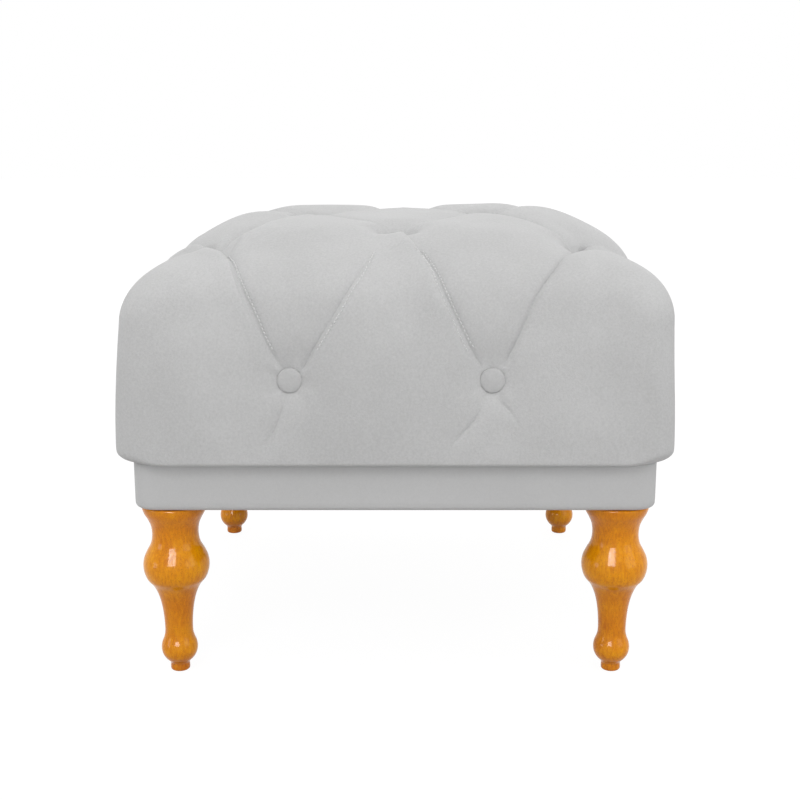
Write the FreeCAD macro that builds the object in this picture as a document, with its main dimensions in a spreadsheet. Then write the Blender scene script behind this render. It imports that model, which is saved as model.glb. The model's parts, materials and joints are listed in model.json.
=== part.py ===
import FreeCAD, Part

import math
import os

import Sketcher
from FreeCAD import Rotation, Vector

# A square tufted footstool (pouf) on four turned wooden legs.
# Millimetres, +Z up. The origin is on the floor, under the middle of the stool.
# The front face looks toward -Y, and +X is to the right of it.

doc = FreeCAD.newDocument("pouf")
sheet = doc.addObject("Spreadsheet::Sheet", "sizes")

# The driving sizes. Each one has its own name and stands here once.
sizes = {
    # cushion: plan, height and outline
    "cushion_side": 499.0,
    "cushion_height": 205.0,
    "cushion_corner": 38.0,
    "bottom_round": 15.0,
    "side_rise": 121.0,
    "shoulder_rise": 61.0,
    "shoulder_run": 78.0,
    "fabric": 1.5,
    "hem_width": 55.0,
    # tufting: places of the buttons and depths of pits and pleats
    "front_button_reach": 89.5,
    "front_row_shift": -3.5,
    "side_button_height": 122.0,
    "outer_row_reach": 126.0,
    "outer_row_spread": 179.0,
    "back_middle_shift": 10.0,
    "middle_row_spread": 89.5,
    "top_pit_depth": 34.0,
    "side_pit_depth": 15.0,
    "top_pit_radius": 48.0,
    "side_pit_radius": 40.0,
    "pit_floor_radius": 12.5,
    "top_pleat_depth": 16.0,
    "side_pleat_depth": 11.0,
    "pleat_half": 36.0,
    "pleat_bend": 66.0,
    "shoulder_drop": 27.0,
    "roll_over": 8.0,
    "pleat_end_gap": 5.0,
    # buttons, twine and washers
    "button_radius": 10.5,
    "button_rim": 2.0,
    "button_dome": 5.5,
    "shank_radius": 1.8,
    "shank_length": 3.5,
    "twine_radius": 1.0,
    "twine_hole_radius": 2.2,
    "knot_radius": 3.0,
    "washer_radius": 11.0,
    "washer_thickness": 1.6,
    # wooden frame inside the cushion
    "frame_side": 444.0,
    "board_thickness": 12.0,
    "panel_thickness": 15.0,
    "panel_height": 86.0,
    "post_side": 30.0,
    # plinth
    "plinth_side": 474.0,
    "rail_height": 42.0,
    "rail_thickness": 20.0,
    "plinth_corner": 16.0,
    "plinth_edge_round": 6.0,
    "top_return": 30.0,
    "bottom_return": 42.0,
    "block_side": 70.0,
    "dust_sheet": 0.6,
    "dust_margin": 6.0,
    # legs
    "leg_height": 165.0,
    "leg_reach": 205.0,
    "leg_top_radius": 30.0,
    "collar_radius": 28.4,
    "collar_height": 11.0,
    "leg_neck_radius": 22.3,
    "leg_neck_length": 11.5,
    "neck_hollow": 1.1,
    "collar_edge": 1.2,
    "flare_length": 17.0,
    "flare_hollow": 1.2,
    "big_bead_radius": 30.6,
    "bead_foot_radius": 20.5,
    "shaft_hollow": 0.9,
    "shaft_radius": 13.2,
    "shaft_length": 18.0,
    "small_bead_length": 26.0,
    "small_bead_bulge": 5.0,
    "ankle_radius": 10.0,
    "foot_height": 8.0,
    "foot_radius": 9.0,
    "foot_edge": 1.2,
    # fasteners
    "bolt_radius": 4.0,
    "bolt_depth": 40.0,
    "bolt_chamfer": 0.8,
    "nut_radius": 6.0,
    "nut_flange_radius": 9.0,
    "nut_flange": 1.5,
    "nut_length": 22.0,
    "screw_radius": 2.2,
    "screw_length": 37.0,
    "screw_tip": 5.0,
    "head_radius": 4.4,
    "head_height": 2.8,
    "head_sink": 3.0,
    "block_sink": 17.0,
    "screw_stagger": 5.0,
    "staple_width": 10.0,
    "staple_wire": 0.5,
    "staple_depth": 6.0,
    "staple_margin": 11.0,
    "staple_spacing": 60.0,
    # fits
    "clearance": 0.1,
    "overrun": 30.0,
}

for row, (name, value) in enumerate(sizes.items(), start=1):
    sheet.set("A%d" % row, name)
    sheet.set("B%d" % row, repr(value))
    sheet.setAlias("B%d" % row, name)
doc.recompute()


class Size:
    """A length that knows its value and the sheet expression behind it."""

    def __init__(self, value, text):
        self.value, self.text = value, text

    def _with(self, other, sign, act, flip=False):
        if not isinstance(other, Size):
            other = Size(float(other), repr(float(other)))
        a, b = (other, self) if flip else (self, other)
        return Size(act(a.value, b.value), "(%s %s %s)" % (a.text, sign, b.text))

    def __add__(self, other):
        return self._with(other, "+", lambda a, b: a + b)

    def __radd__(self, other):
        return self._with(other, "+", lambda a, b: a + b, True)

    def __sub__(self, other):
        return self._with(other, "-", lambda a, b: a - b)

    def __rsub__(self, other):
        return self._with(other, "-", lambda a, b: a - b, True)

    def __mul__(self, other):
        return self._with(other, "*", lambda a, b: a * b)

    def __rmul__(self, other):
        return self._with(other, "*", lambda a, b: a * b, True)

    def __truediv__(self, other):
        return self._with(other, "/", lambda a, b: a / b)

    def __neg__(self):
        return self * -1

    def root(self):
        return Size(math.sqrt(self.value), "sqrt(%s)" % self.text)

    def __float__(self):
        return self.value


def size(name):
    """The named size, read back from the sheet."""
    return Size(float(sheet.get(name)), "sizes." + name)


NIL = Size(0.0, "0.0")

fabric = size("fabric")
clearance = size("clearance")
overrun = size("overrun")
cushion_half = size("cushion_side") / 2
frame_half = size("frame_side") / 2
plinth_half = size("plinth_side") / 2
leg_reach = size("leg_reach")
panel = size("panel_thickness")
board = size("board_thickness")
rail = size("rail_thickness")

# Heights, from the floor up.
dust_z = size("leg_height")
plinth_z = dust_z + size("dust_sheet")
rail_z = plinth_z + fabric
rail_top_z = rail_z + size("rail_height")
cushion_z = rail_top_z + fabric
base_z = cushion_z + fabric
panel_z = base_z + board
deck_z = panel_z + size("panel_height")
foam_z = deck_z + board
side_button_z = dust_z + size("side_button_height")

parts = []


def keep(obj, label):
    """Give a sub-part its name and list it for writing."""
    obj.Label = label
    parts.append(obj)
    return obj


def place(obj, x, y, z, rotation=None):
    """Bind the place of an object to the sheet."""
    if rotation is not None:
        obj.Placement = FreeCAD.Placement(Vector(), rotation)
    for axis, length in (("x", x), ("y", y), ("z", z)):
        obj.setExpression("Placement.Base." + axis, length.text)
    obj.Placement.Base = Vector(float(x), float(y), float(z))
    return obj


def new_sketch(body, name, plane="XY_Plane", lift=None):
    """A sketch on one of the body's own planes, lifted along its normal if asked."""
    sketch = body.newObject("Sketcher::SketchObject", name)
    origin = next(f for f in body.Origin.OriginFeatures if f.Role == plane)
    sketch.AttachmentSupport = [(origin, "")]
    sketch.MapMode = "FlatFace"
    if lift is not None:
        sketch.setExpression("AttachmentOffset.Base.z", lift.text)
        sketch.AttachmentOffset.Base = Vector(0, 0, float(lift))
    return sketch


def pin_point(sketch, geo, pos, x, y):
    """Fix a sketch point at x, y from the origin, with both bound to the sheet."""
    for kind, length, axis in (("DistanceX", x, -2), ("DistanceY", y, -1)):
        value = float(length)
        if abs(value) < 1e-9:
            sketch.addConstraint(Sketcher.Constraint("PointOnObject", geo, pos, axis))
            continue
        ends = (-1, 1, geo, pos) if value > 0 else (geo, pos, -1, 1)
        number = sketch.addConstraint(Sketcher.Constraint(kind, *ends, abs(value)))
        text = length.text if value > 0 else "-1 * " + length.text
        sketch.setExpression("Constraints[%d]" % number, text)


def draw_outline(sketch, points):
    """A closed outline through (x, y, bulge) points.

    The bulge is the height of an arc from its point to the next one, out to the right
    of the way along, and zero for a straight line.
    """
    for i, (x, y, bulge) in enumerate(points):
        nx, ny, _ = points[(i + 1) % len(points)]
        a, b = Vector(float(x), float(y), 0), Vector(float(nx), float(ny), 0)
        if abs(float(bulge)) < 1e-9:
            sketch.addGeometry(Part.LineSegment(a, b))
        else:
            along = (b - a).normalize()
            right = Vector(along.y, -along.x, 0)
            sketch.addGeometry(Part.Arc(a, (a + b) / 2 + right * float(bulge), b))
    count = len(points)
    ends = []
    for i, (_, _, bulge) in enumerate(points):
        # an arc bulging to the left keeps its ends in order, one to the right swaps them
        ends.append((2, 1) if float(bulge) < 0 else (1, 2))
    for i, (x, y, bulge) in enumerate(points):
        nxt = (i + 1) % count
        sketch.addConstraint(Sketcher.Constraint("Coincident", i, ends[i][1], nxt, ends[nxt][0]))
    for i, (x, y, bulge) in enumerate(points):
        pin_point(sketch, i, ends[i][0], x, y)
        if abs(float(bulge)) >= 1e-9:
            nx, ny, _ = points[(i + 1) % count]
            chord2 = (nx - x) * (nx - x) + (ny - y) * (ny - y)
            rise = bulge if float(bulge) > 0 else -bulge
            radius = (chord2 / 4 + rise * rise) / (2 * rise)
            number = sketch.addConstraint(Sketcher.Constraint("Radius", i, float(radius)))
            sketch.setExpression("Constraints[%d]" % number, radius.text)


def rectangle(sketch, width, depth):
    """A rectangle about the sketch's origin."""
    x, y = width / 2, depth / 2
    draw_outline(sketch, [(-x, -y, NIL), (x, -y, NIL), (x, y, NIL), (-x, y, NIL)])


def plate(label, width, depth, height, x, y, z):
    """A board with its base centred on the body's origin."""
    body = doc.addObject("PartDesign::Body", label)
    sketch = new_sketch(body, label + "_plan")
    rectangle(sketch, width, depth)
    pad = body.newObject("PartDesign::Pad", label + "_pad")
    pad.Profile = sketch
    pad.setExpression("Length", height.text)
    sketch.Visibility = False
    place(body, x, y, z)
    return keep(body, label)


def bore(body, name, spots, radius, plane="XY_Plane", lift=None, depth=None, up=True):
    """Round holes at (x, y) spots of a plane, through everything or to a depth."""
    sketch = new_sketch(body, name + "_plan", plane, lift)
    for i, (x, y) in enumerate(spots):
        sketch.addGeometry(Part.Circle(Vector(float(x), float(y), 0), Vector(0, 0, 1), float(radius)))
        pin_point(sketch, i, 3, x, y)
        number = sketch.addConstraint(Sketcher.Constraint("Radius", i, float(radius)))
        sketch.setExpression("Constraints[%d]" % number, radius.text)
    pocket = body.newObject("PartDesign::Pocket", name)
    pocket.Profile = sketch
    pocket.Reversed = up
    if depth is None:
        pocket.Type = "ThroughAll"
    else:
        pocket.setExpression("Length", depth.text)
    return pocket


def turned(label, points):
    """A body turned about its Z axis from (radius, height, bulge) points."""
    body = doc.addObject("PartDesign::Body", label)
    sketch = new_sketch(body, label + "_profile", "XZ_Plane")
    draw_outline(sketch, points)
    turn = body.newObject("PartDesign::Revolution", label + "_turn")
    turn.Profile = sketch
    turn.ReferenceAxis = (sketch, ["V_Axis"])
    turn.Angle = 360
    return body


def edges_where(body, test):
    """Names of the edges of a body's present shape that pass a test on their box."""
    doc.recompute()
    shape = body.Tip.Shape
    return ["Edge%d" % (i + 1) for i, e in enumerate(shape.Edges) if test(e.BoundBox)]


def round_edges(body, name, names, radius):
    base_feature = body.Tip
    fillet = body.newObject("PartDesign::Fillet", name)
    fillet.Base = (base_feature, names)
    fillet.setExpression("Radius", radius.text)
    body.Tip = fillet
    return fillet


def solid_feature(label, shape):
    obj = doc.addObject("Part::Feature", label)
    obj.Shape = shape
    obj.Placement = FreeCAD.Placement()
    return keep(obj, label)


def near(a, b):
    return abs(a - float(b)) < 1e-3


# Cushion form
# The envelope is a loft through rounded squares: drawn in at the foot, upright sides,
# a soft shoulder and a low crown. Pleats and button pits are then cut from it.

# Crown sections: inset and corner as shares of the half side, rise as a share of the height.
crown_inset_shares = (0.28, 0.40, 0.50, 0.66, 0.84)
crown_corner_shares = (0.24, 0.264, 0.28, 0.24, 0.12)
crown_rise_shares = (0.912, 0.966, 0.993, 0.999, 1.0)
shoulder_angles = (20, 40, 60)
foot_angles = (0, 30, 60, 90)
side_level_shares = (0.41, 0.73, 1.0)
shoulder_corner_share = 0.2


def rounded_square(half, corner, z):
    c = half - corner
    k = corner * math.sqrt(0.5)
    edges = []
    for i, (sx, sy) in enumerate(((1, 1), (-1, 1), (-1, -1), (1, -1))):
        on_x, on_y = Vector(sx * half, sy * c, z), Vector(sx * c, sy * half, z)
        first, last = (on_y, on_x) if i % 2 else (on_x, on_y)
        edges.append(Part.Arc(first, Vector(sx * (c + k), sy * (c + k), z), last).toShape())
        nx, ny = ((-1, 1), (-1, -1), (1, -1), (1, 1))[i]
        start = Vector(nx * half, ny * c, z) if i % 2 else Vector(nx * c, ny * half, z)
        edges.append(Part.makeLine(last, start))
    return Part.Wire(edges)


def envelope(inset):
    """The smooth cushion block, smaller by the inset all round."""
    half, height = float(cushion_half), float(size("cushion_height"))
    foot, corner = float(size("bottom_round")), float(size("cushion_corner"))
    rise, shoulder = float(size("side_rise")), float(size("shoulder_rise"))
    run = float(size("shoulder_run"))
    rows = []
    for angle in foot_angles:
        a = math.radians(angle)
        rows.append((foot * (1 - math.cos(a)), foot * (1 - math.sin(a)), corner))
    for share in side_level_shares:
        rows.append((rise * share, 0, corner))
    for angle in shoulder_angles:
        a = math.radians(angle)
        grown = corner * (1 + shoulder_corner_share * a)
        rows.append((rise + shoulder * math.sin(a), run * (1 - math.cos(a)), grown))
    for inward, r, up in zip(crown_inset_shares, crown_corner_shares, crown_rise_shares):
        rows.append((height * up, half * inward, half * r))
    base, squeeze = float(cushion_z) + inset, (height - 2 * inset) / height
    wires = [rounded_square(half - inset - inward, r, base + up * squeeze) for up, inward, r in rows]
    return Part.makeLoft(wires, True, False)


def roll(width, depth, inset, foot):
    """A rounded flank from (foot, 0) up to (width, depth): its low, middle and top points.

    The flank is an arc, level at its top. The inset moves it into the cushion.
    """
    span = width - foot
    full = (span * span + depth * depth) / (2 * depth)
    radius, cy = full - inset, depth - full
    if foot > 0:
        low_y = -inset
        low_x = width - math.sqrt(radius**2 - (low_y - cy) ** 2)
    else:
        low_x = 0
        low_y = cy + math.sqrt(radius**2 - width**2)
    start = math.atan2(low_y - cy, low_x - width) % (2 * math.pi)
    middle = (start + math.pi / 2) / 2
    mid = (width + radius * math.cos(middle), cy + radius * math.sin(middle))
    return (low_x, low_y), mid, (width, depth - inset)


def path_edges(points):
    """Straight edges from point to point, leaving out steps of no length."""
    pairs = [(a, b) for a, b in zip(points, points[1:]) if (b - a).Length > 1e-6]
    return [Part.makeLine(a, b) for a, b in pairs]


def pleat_profile(at, along, out, width, depth, inset):
    """A pleat's section: two rolls of fabric that meet in a sharp crease."""
    side = along.cross(out).normalize()
    low, mid, top = roll(width, depth, inset, 0)
    wall, lid = width + inset, depth + float(overrun)

    def p(x, y):
        return at + side * x + out * y

    rim = [p(*top), p(wall, top[1]), p(wall, lid), p(-wall, lid), p(-wall, top[1]), p(-top[0], top[1])]
    return Part.Wire(
        [Part.Arc(p(0, low[1]), p(*mid), p(*top)).toShape()]
        + path_edges(rim)
        + [Part.Arc(p(-top[0], top[1]), p(-mid[0], mid[1]), p(0, low[1])).toShape()]
    )


def straight_pleat(start, end, width, depth, inset):
    along = (end - start).normalize()
    profile = pleat_profile(start, along, Vector(0, 0, 1), width, depth, inset)
    return Part.Face(profile).extrude(end - start)


def bent_pleat(start, edge, end, width, depth, inset):
    """A pleat that climbs the side, turns over the shoulder and runs on across the top."""
    first, second = (edge - start).normalize(), (end - edge).normalize()
    turn = first.getAngle(second)
    bend = float(size("pleat_bend"))
    back = bend * math.tan(turn / 2)
    a, b = edge - first * back, edge + second * back
    normal = first.cross(second).normalize()
    centre = a + normal.cross(first) * bend
    middle = centre + (edge - centre).normalize() * bend
    path = Part.Wire([Part.makeLine(start, a), Part.Arc(a, middle, b).toShape(), Part.makeLine(b, end)])
    sweep = Part.BRepOffsetAPI.MakePipeShell(path)
    sweep.setBiNormalMode(normal)
    sweep.add(pleat_profile(start, first, first.cross(normal), width, depth, inset))
    sweep.build()
    sweep.makeSolid()
    return sweep.shape()


def pit(at, out, radius, depth, inset):
    """A round pit with a flat floor and rolled flanks, about a button."""
    across = Vector(0, 0, 1).cross(out) if abs(out.z) < 1e-9 else Vector(1, 0, 0)
    low, mid, top = roll(radius, depth, inset, float(size("pit_floor_radius")))
    wall, lid = radius + inset, depth + float(overrun)

    def p(r, y):
        return at + across * r + out * y

    wire = Part.Wire(
        [Part.makeLine(p(0, low[1]), p(*low)), Part.Arc(p(*low), p(*mid), p(*top)).toShape()]
        + path_edges([p(*top), p(wall, top[1]), p(wall, lid), p(0, lid), p(0, low[1])])
    )
    return Part.Face(wire).revolve(at, out, 360)


def top_of(block, x, y):
    """Height of the smooth block over a place in plan."""
    low = float(cushion_z)
    line = Part.makeLine(Vector(x, y, low), Vector(x, y, low + 2 * float(size("cushion_height"))))
    return line.common(block).BoundBox.ZMax


smooth_block = envelope(0.0)
up_z = Vector(0, 0, 1)

# Buttons: name, place of the button's seat and the way it faces.
buttons = {}
side_face = cushion_half - size("side_pit_depth")
front_reach, shift = size("front_button_reach"), size("front_row_shift")
for name, x, y, out in (
    ("front_left", shift - front_reach, -side_face, Vector(0, -1, 0)),
    ("front_right", shift + front_reach, -side_face, Vector(0, -1, 0)),
    ("back_left", -front_reach, side_face, Vector(0, 1, 0)),
    ("back_right", front_reach, side_face, Vector(0, 1, 0)),
    ("side_left", -side_face, NIL, Vector(-1, 0, 0)),
    ("side_right", side_face, NIL, Vector(1, 0, 0)),
):
    buttons[name] = (Vector(float(x), float(y), float(side_button_z)), out)
row_reach, spread = float(size("outer_row_reach")), float(size("outer_row_spread"))
middle_spread, depth = float(size("middle_row_spread")), float(size("top_pit_depth"))
for name, x, y in (
    ("top_front_left", -spread, -row_reach),
    ("top_front_middle", 0, -row_reach),
    ("top_front_right", spread, -row_reach),
    ("top_middle_left", -middle_spread, 0),
    ("top_middle_right", middle_spread, 0),
    ("top_back_left", -spread, row_reach),
    ("top_back_middle", float(size("back_middle_shift")), row_reach),
    ("top_back_right", spread, row_reach),
):
    buttons[name] = (Vector(x, y, top_of(smooth_block, x, y) - depth), up_z)

# Pleats run between these buttons, in diamonds.
top_pleats = [
    ("top_%s_%s" % (row, end), "top_middle_" + side)
    for row in ("front", "back")
    for end, side in (("left", "left"), ("middle", "left"), ("middle", "right"), ("right", "right"))
]
bent_pleats = [
    ("%s_%s" % (row, side), "top_%s_%s" % (row, end))
    for row in ("front", "back")
    for side, end in (("left", "left"), ("left", "middle"), ("right", "middle"), ("right", "right"))
]
bent_pleats += [
    ("side_" + side, "top_%s_%s" % (row, side)) for side in ("left", "right") for row in ("front", "back")
]


def cut_one(block, tool):
    """Take one tool from the block and keep its one solid."""
    left = block.cut(tool)
    if len(left.Solids) != 1 or not left.Solids[0].isValid():
        raise ValueError("a cut of the cushion form left %d solids" % len(left.Solids))
    return left.Solids[0]


def tufted_form(inset):
    """The cushion with its pits and pleats, smaller by the inset all round."""
    block = envelope(inset)
    top_depth, side_depth = float(size("top_pit_depth")), float(size("side_pit_depth"))
    top_pleat, side_pleat = float(size("top_pleat_depth")), float(size("side_pleat_depth"))
    width = float(size("pleat_half"))
    # the level at which the bent pleats would meet the line up the side
    shoulder = float(cushion_z + size("side_rise") + size("shoulder_rise") - size("shoulder_drop"))
    # the flanks end a little above the block, so that no edge is left standing
    proud = float(size("roll_over"))
    gap = float(size("pleat_end_gap")) - inset
    for at, out in buttons.values():
        on_top = out.z > 0.5
        radius = float(size("top_pit_radius" if on_top else "side_pit_radius"))
        block = cut_one(block, pit(at, out, radius, (top_depth if on_top else side_depth) + proud, inset))
    deep, lift = top_pleat + proud, up_z * (top_depth - top_pleat)
    for a, b in top_pleats:
        start, end = buttons[a][0] + lift, buttons[b][0] + lift
        step = (end - start).normalize() * gap
        block = cut_one(block, straight_pleat(start + step, end - step, width, deep, inset))
    for a, b in bent_pleats:
        out = buttons[a][1]
        start, end = buttons[a][0] + out * (side_depth - side_pleat), buttons[b][0] + lift
        climb, inward = end.z - start.z, abs((end - start).dot(out))
        edge = start + (end - start) * (climb / (climb + inward))
        edge += out * (start - edge).dot(out)
        edge.z = shoulder
        first, second = (edge - start).normalize() * gap, (end - edge).normalize() * gap
        block = cut_one(block, bent_pleat(start + first, edge, end - second, width, deep, inset))
    return block


def slab(low, high, half_x, half_y, x=0.0, y=0.0):
    """A plain box between two heights, centred in plan."""
    corner = Vector(x - half_x, y - half_y, low)
    return Part.makeBox(2 * half_x, 2 * half_y, high - low, corner)


outer_form = tufted_form(0.0)
inner_form = tufted_form(float(fabric))

# Cover: the skin between the two forms, open below inside its hem, with a hole
# behind each button.
skin = Part.makeSolid(Part.Compound([outer_form.Shells[0], inner_form.Shells[0].reversed()]))
opening = float(cushion_half - size("hem_width"))
skin = cut_one(skin, slab(float(cushion_z - overrun), float(base_z + fabric), opening, opening))
for at, out in buttons.values():
    hole = Part.makeCylinder(float(size("twine_hole_radius")), float(4 * fabric), at - out * float(2 * fabric), out)
    skin = cut_one(skin, hole)
solid_feature("cushion_cover", skin)

# Foam: one slab over the deck with the crown, and four pads round the frame.
foam_top = float(foam_z + size("cushion_height"))
twine_drill = [
    Part.makeCylinder(float(size("twine_hole_radius")), float(2 * overrun + frame_half), at + out, -out)
    for at, out in buttons.values()
]


def drilled(shape, wanted):
    for tool in wanted:
        if tool.common(shape).Volume > 0:
            shape = cut_one(shape, tool)
    return shape


half, inner = float(cushion_half), float(frame_half)
reach_in = (half + inner) / 2
deep = half - inner
crown = inner_form.common(slab(float(foam_z), foam_top, half, half)).Solids[0]
solid_feature("top_foam", drilled(crown, twine_drill[6:]))
for label, x, y, half_x, half_y, drills in (
    ("front_foam", 0, -reach_in, half, deep / 2, twine_drill[0:2]),
    ("back_foam", 0, reach_in, half, deep / 2, twine_drill[2:4]),
    ("left_foam", -reach_in, 0, deep / 2, inner, twine_drill[4:5]),
    ("right_foam", reach_in, 0, deep / 2, inner, twine_drill[5:6]),
):
    pad = inner_form.common(slab(float(base_z), float(foam_z), half_x, half_y, x, y)).Solids[0]
    solid_feature(label, drilled(pad, drills))

# Buttons: a covered dome on a flat back, with a short shank through the cover.
rim, dome = size("button_rim"), size("button_dome")
button_r, shank_r = size("button_radius"), size("shank_radius")
# the dome is part of a ball whose middle is on the axis
dome_ball = (button_r * button_r + dome * dome) / (2 * dome)
dome_bulge = dome_ball - dome_ball * button_r / (button_r * button_r + dome * dome).root()
button_profile = [
    (NIL, -size("shank_length"), NIL),
    (shank_r, -size("shank_length"), NIL),
    (shank_r, NIL, NIL),
    (button_r - rim / 2, NIL, rim / 5),
    (button_r, rim / 2, NIL),
    (button_r, rim, dome_bulge),
    (NIL, rim + dome, NIL),
]
for name, (at, out) in buttons.items():
    body = turned("button_" + name, button_profile)
    body.Placement = FreeCAD.Placement(at, Rotation(up_z, out))
    keep(body, "button_" + name)

# Twines and washers: each button is tied through the foam to the wood behind it.
twine_r, knot_r = float(size("twine_radius")), float(size("knot_radius"))
washer_r, washer_t = float(size("washer_radius")), float(size("washer_thickness"))
twines, washers = [], []
for at, out in buttons.values():
    start = at - out * float(size("shank_length"))
    if out.z > 0.5:
        back = Vector(at.x, at.y, float(deck_z))
    else:
        back = at - out * (abs(at.dot(out)) - float(frame_half - panel))
    end = back - out * washer_t
    knot = Part.makeSphere(knot_r, end - out * knot_r)
    run = Part.makeCylinder(twine_r, (start - end).Length + knot_r, start, -out)
    twines.append(run.fuse(knot).removeSplitter().Solids[0])
    ring = Part.makeCylinder(washer_r, washer_t, back, -out)
    washers.append(ring.cut(Part.makeCylinder(twine_r + float(clearance), washer_t, back, -out)).Solids[0])
solid_feature("tufting_twines", Part.makeCompound(twines))
solid_feature("twine_washers", Part.makeCompound(washers))

# Wooden frame of the cushion
side = size("frame_side")
post, panel_h = size("post_side"), size("panel_height")
post_at = frame_half - panel - post / 2
screw_r, head_r = size("screw_radius"), size("head_radius")
hole_r, sink_r = screw_r + clearance, head_r + clearance
sink = size("head_sink")
block_half = size("block_side") / 2
block_at = plinth_half - fabric - rail - block_half
corners = [(sx, sy) for sy in (-1, 1) for sx in (-1, 1)]


def spot(sx, sy, reach):
    return (reach * sx, reach * sy)


base = plate("base_board", side, side, board, NIL, NIL, base_z)
post_spots = [spot(sx, sy, post_at) for sx, sy in corners]
bore(base, "base_holes", post_spots, hole_r)
bore(base, "base_sinks", post_spots, sink_r, depth=sink)
# two screws in each corner block, on its inner diagonal
block_offsets = [(block_half / 2, -block_half / 2), (-block_half / 2, block_half / 2)]
block_spots = [
    ((block_at - block_half / 4 + dx) * sx, (block_at - block_half / 4 + dy) * sy)
    for sx, sy in corners
    for dx, dy in block_offsets
]
block_screw_z = rail_z + size("block_sink")
block_bite = block_screw_z + size("screw_length") - base_z + clearance
bore(base, "base_pilots", block_spots, hole_r, depth=block_bite)

deck = plate("deck_board", side, side, board, NIL, NIL, deck_z)
bore(deck, "deck_holes", post_spots, hole_r)
bore(deck, "deck_sinks", post_spots, sink_r, lift=board, depth=sink, up=False)
mid_x, row_y, row_x = size("middle_row_spread"), size("outer_row_reach"), size("outer_row_spread")
twine_spots = [(-mid_x, NIL), (mid_x, NIL), (NIL, -row_y), (size("back_middle_shift"), row_y)]
twine_spots += [(row_x * sx, row_y * sy) for sx, sy in corners]
bore(deck, "twine_holes", twine_spots, size("twine_hole_radius"))

# Panels stand on the base board. Front and back run the full width.
panel_mid = frame_half - panel / 2
side_panel = side - 2 * panel
twine_up = side_button_z - panel_z
post_screw = panel_h / 2
stagger = size("screw_stagger")
for label, sign, spots in (
    ("panel_front", -1, [(shift - front_reach, twine_up), (shift + front_reach, twine_up)]),
    ("panel_back", 1, [(-front_reach, twine_up), (front_reach, twine_up)]),
):
    body = plate(label, side, panel, panel_h, NIL, panel_mid * sign, panel_z)
    bore(body, label + "_twine", spots, size("twine_hole_radius"), "XZ_Plane", lift=panel, up=False)
    screws = [(post_at * s, post_screw - stagger) for s in (-1, 1)]
    bore(body, label + "_screws", screws, hole_r, "XZ_Plane", lift=panel, up=False)
    # the heads sink into the outer face
    face = panel / 2
    bore(body, label + "_sinks", screws, sink_r, "XZ_Plane", lift=face * -sign, depth=sink, up=sign > 0)
for label, sign in (("panel_left", -1), ("panel_right", 1)):
    body = plate(label, panel, side_panel, panel_h, panel_mid * sign, NIL, panel_z)
    bore(body, label + "_twine", [(NIL, twine_up)], size("twine_hole_radius"), "YZ_Plane", lift=panel, up=False)
    screws = [(post_at * s, post_screw + stagger) for s in (-1, 1)]
    bore(body, label + "_screws", screws, hole_r, "YZ_Plane", lift=panel, up=False)
    bore(body, label + "_sinks", screws, sink_r, "YZ_Plane", lift=panel / 2 * sign, depth=sink, up=sign < 0)

screw_l = size("screw_length")
post_bite = screw_l - (board - sink) + clearance
panel_bite = screw_l - (panel - sink) + clearance
for sx, sy in corners:
    label = "post_%s_%s" % ("front" if sy < 0 else "back", "left" if sx < 0 else "right")
    body = plate(label, post, post, panel_h, post_at * sx, post_at * sy, panel_z)
    bore(body, label + "_low", [(NIL, NIL)], hole_r, depth=post_bite)
    bore(body, label + "_high", [(NIL, NIL)], hole_r, lift=panel_h, depth=post_bite, up=False)
    bore(
        body, label + "_fore", [(NIL, post_screw - stagger)], hole_r, "XZ_Plane",
        lift=post / 2 * -sy, depth=panel_bite, up=sy > 0,
    )
    bore(
        body, label + "_side", [(NIL, post_screw + stagger)], hole_r, "YZ_Plane",
        lift=post / 2 * sx, depth=panel_bite, up=sx < 0,
    )

# Plinth: four rails with corner blocks, which carry the legs
rail_half = plinth_half - fabric
rail_mid = rail_half - rail / 2
rail_h = size("rail_height")
rail_corner = size("plinth_corner") - fabric
rail_round = size("plinth_edge_round") - fabric
rail_spots = (block_at - block_half / 2, block_at)
dust_half = plinth_half - size("dust_margin")
staple_row = dust_half - size("staple_margin")
staple_reach = size("staple_width") / 2 - size("staple_wire")
staple_hole = size("staple_wire") + clearance
staple_count = 6
staple_places = [size("staple_spacing") * (i - (staple_count - 1) / 2) for i in range(staple_count)]
staple_legs = [place_x + staple_reach * s for place_x in staple_places for s in (-1, 1)]
staple_bite = size("staple_depth") - size("dust_sheet") - fabric + clearance
for label, sign in (("rail_front", -1), ("rail_back", 1)):
    body = plate(label, rail_half * 2, rail, rail_h, NIL, rail_mid * sign, rail_z)
    outer = sign * float(rail) / 2
    ends = edges_where(body, lambda b: near(b.YMin, outer) and near(b.YMax, outer) and near(b.XLength, 0))
    round_edges(body, label + "_corners", ends, rail_corner)
    low = edges_where(body, lambda b: near(b.YMin, outer) and near(b.YMax, outer) and near(b.ZMax, 0))
    round_edges(body, label + "_round", low, rail_round)
    screws = [(reach * s, rail_h / 2) for s in (-1, 1) for reach in rail_spots]
    bore(body, label + "_screws", screws, hole_r, "XZ_Plane", lift=rail, up=False)
    bore(body, label + "_sinks", screws, sink_r, "XZ_Plane", lift=rail / 2 * -sign, depth=sink, up=sign > 0)
    legs_at = [(x, (staple_row - rail_mid) * sign) for x in staple_legs]
    bore(body, label + "_staples", legs_at, staple_hole, depth=staple_bite)
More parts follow.
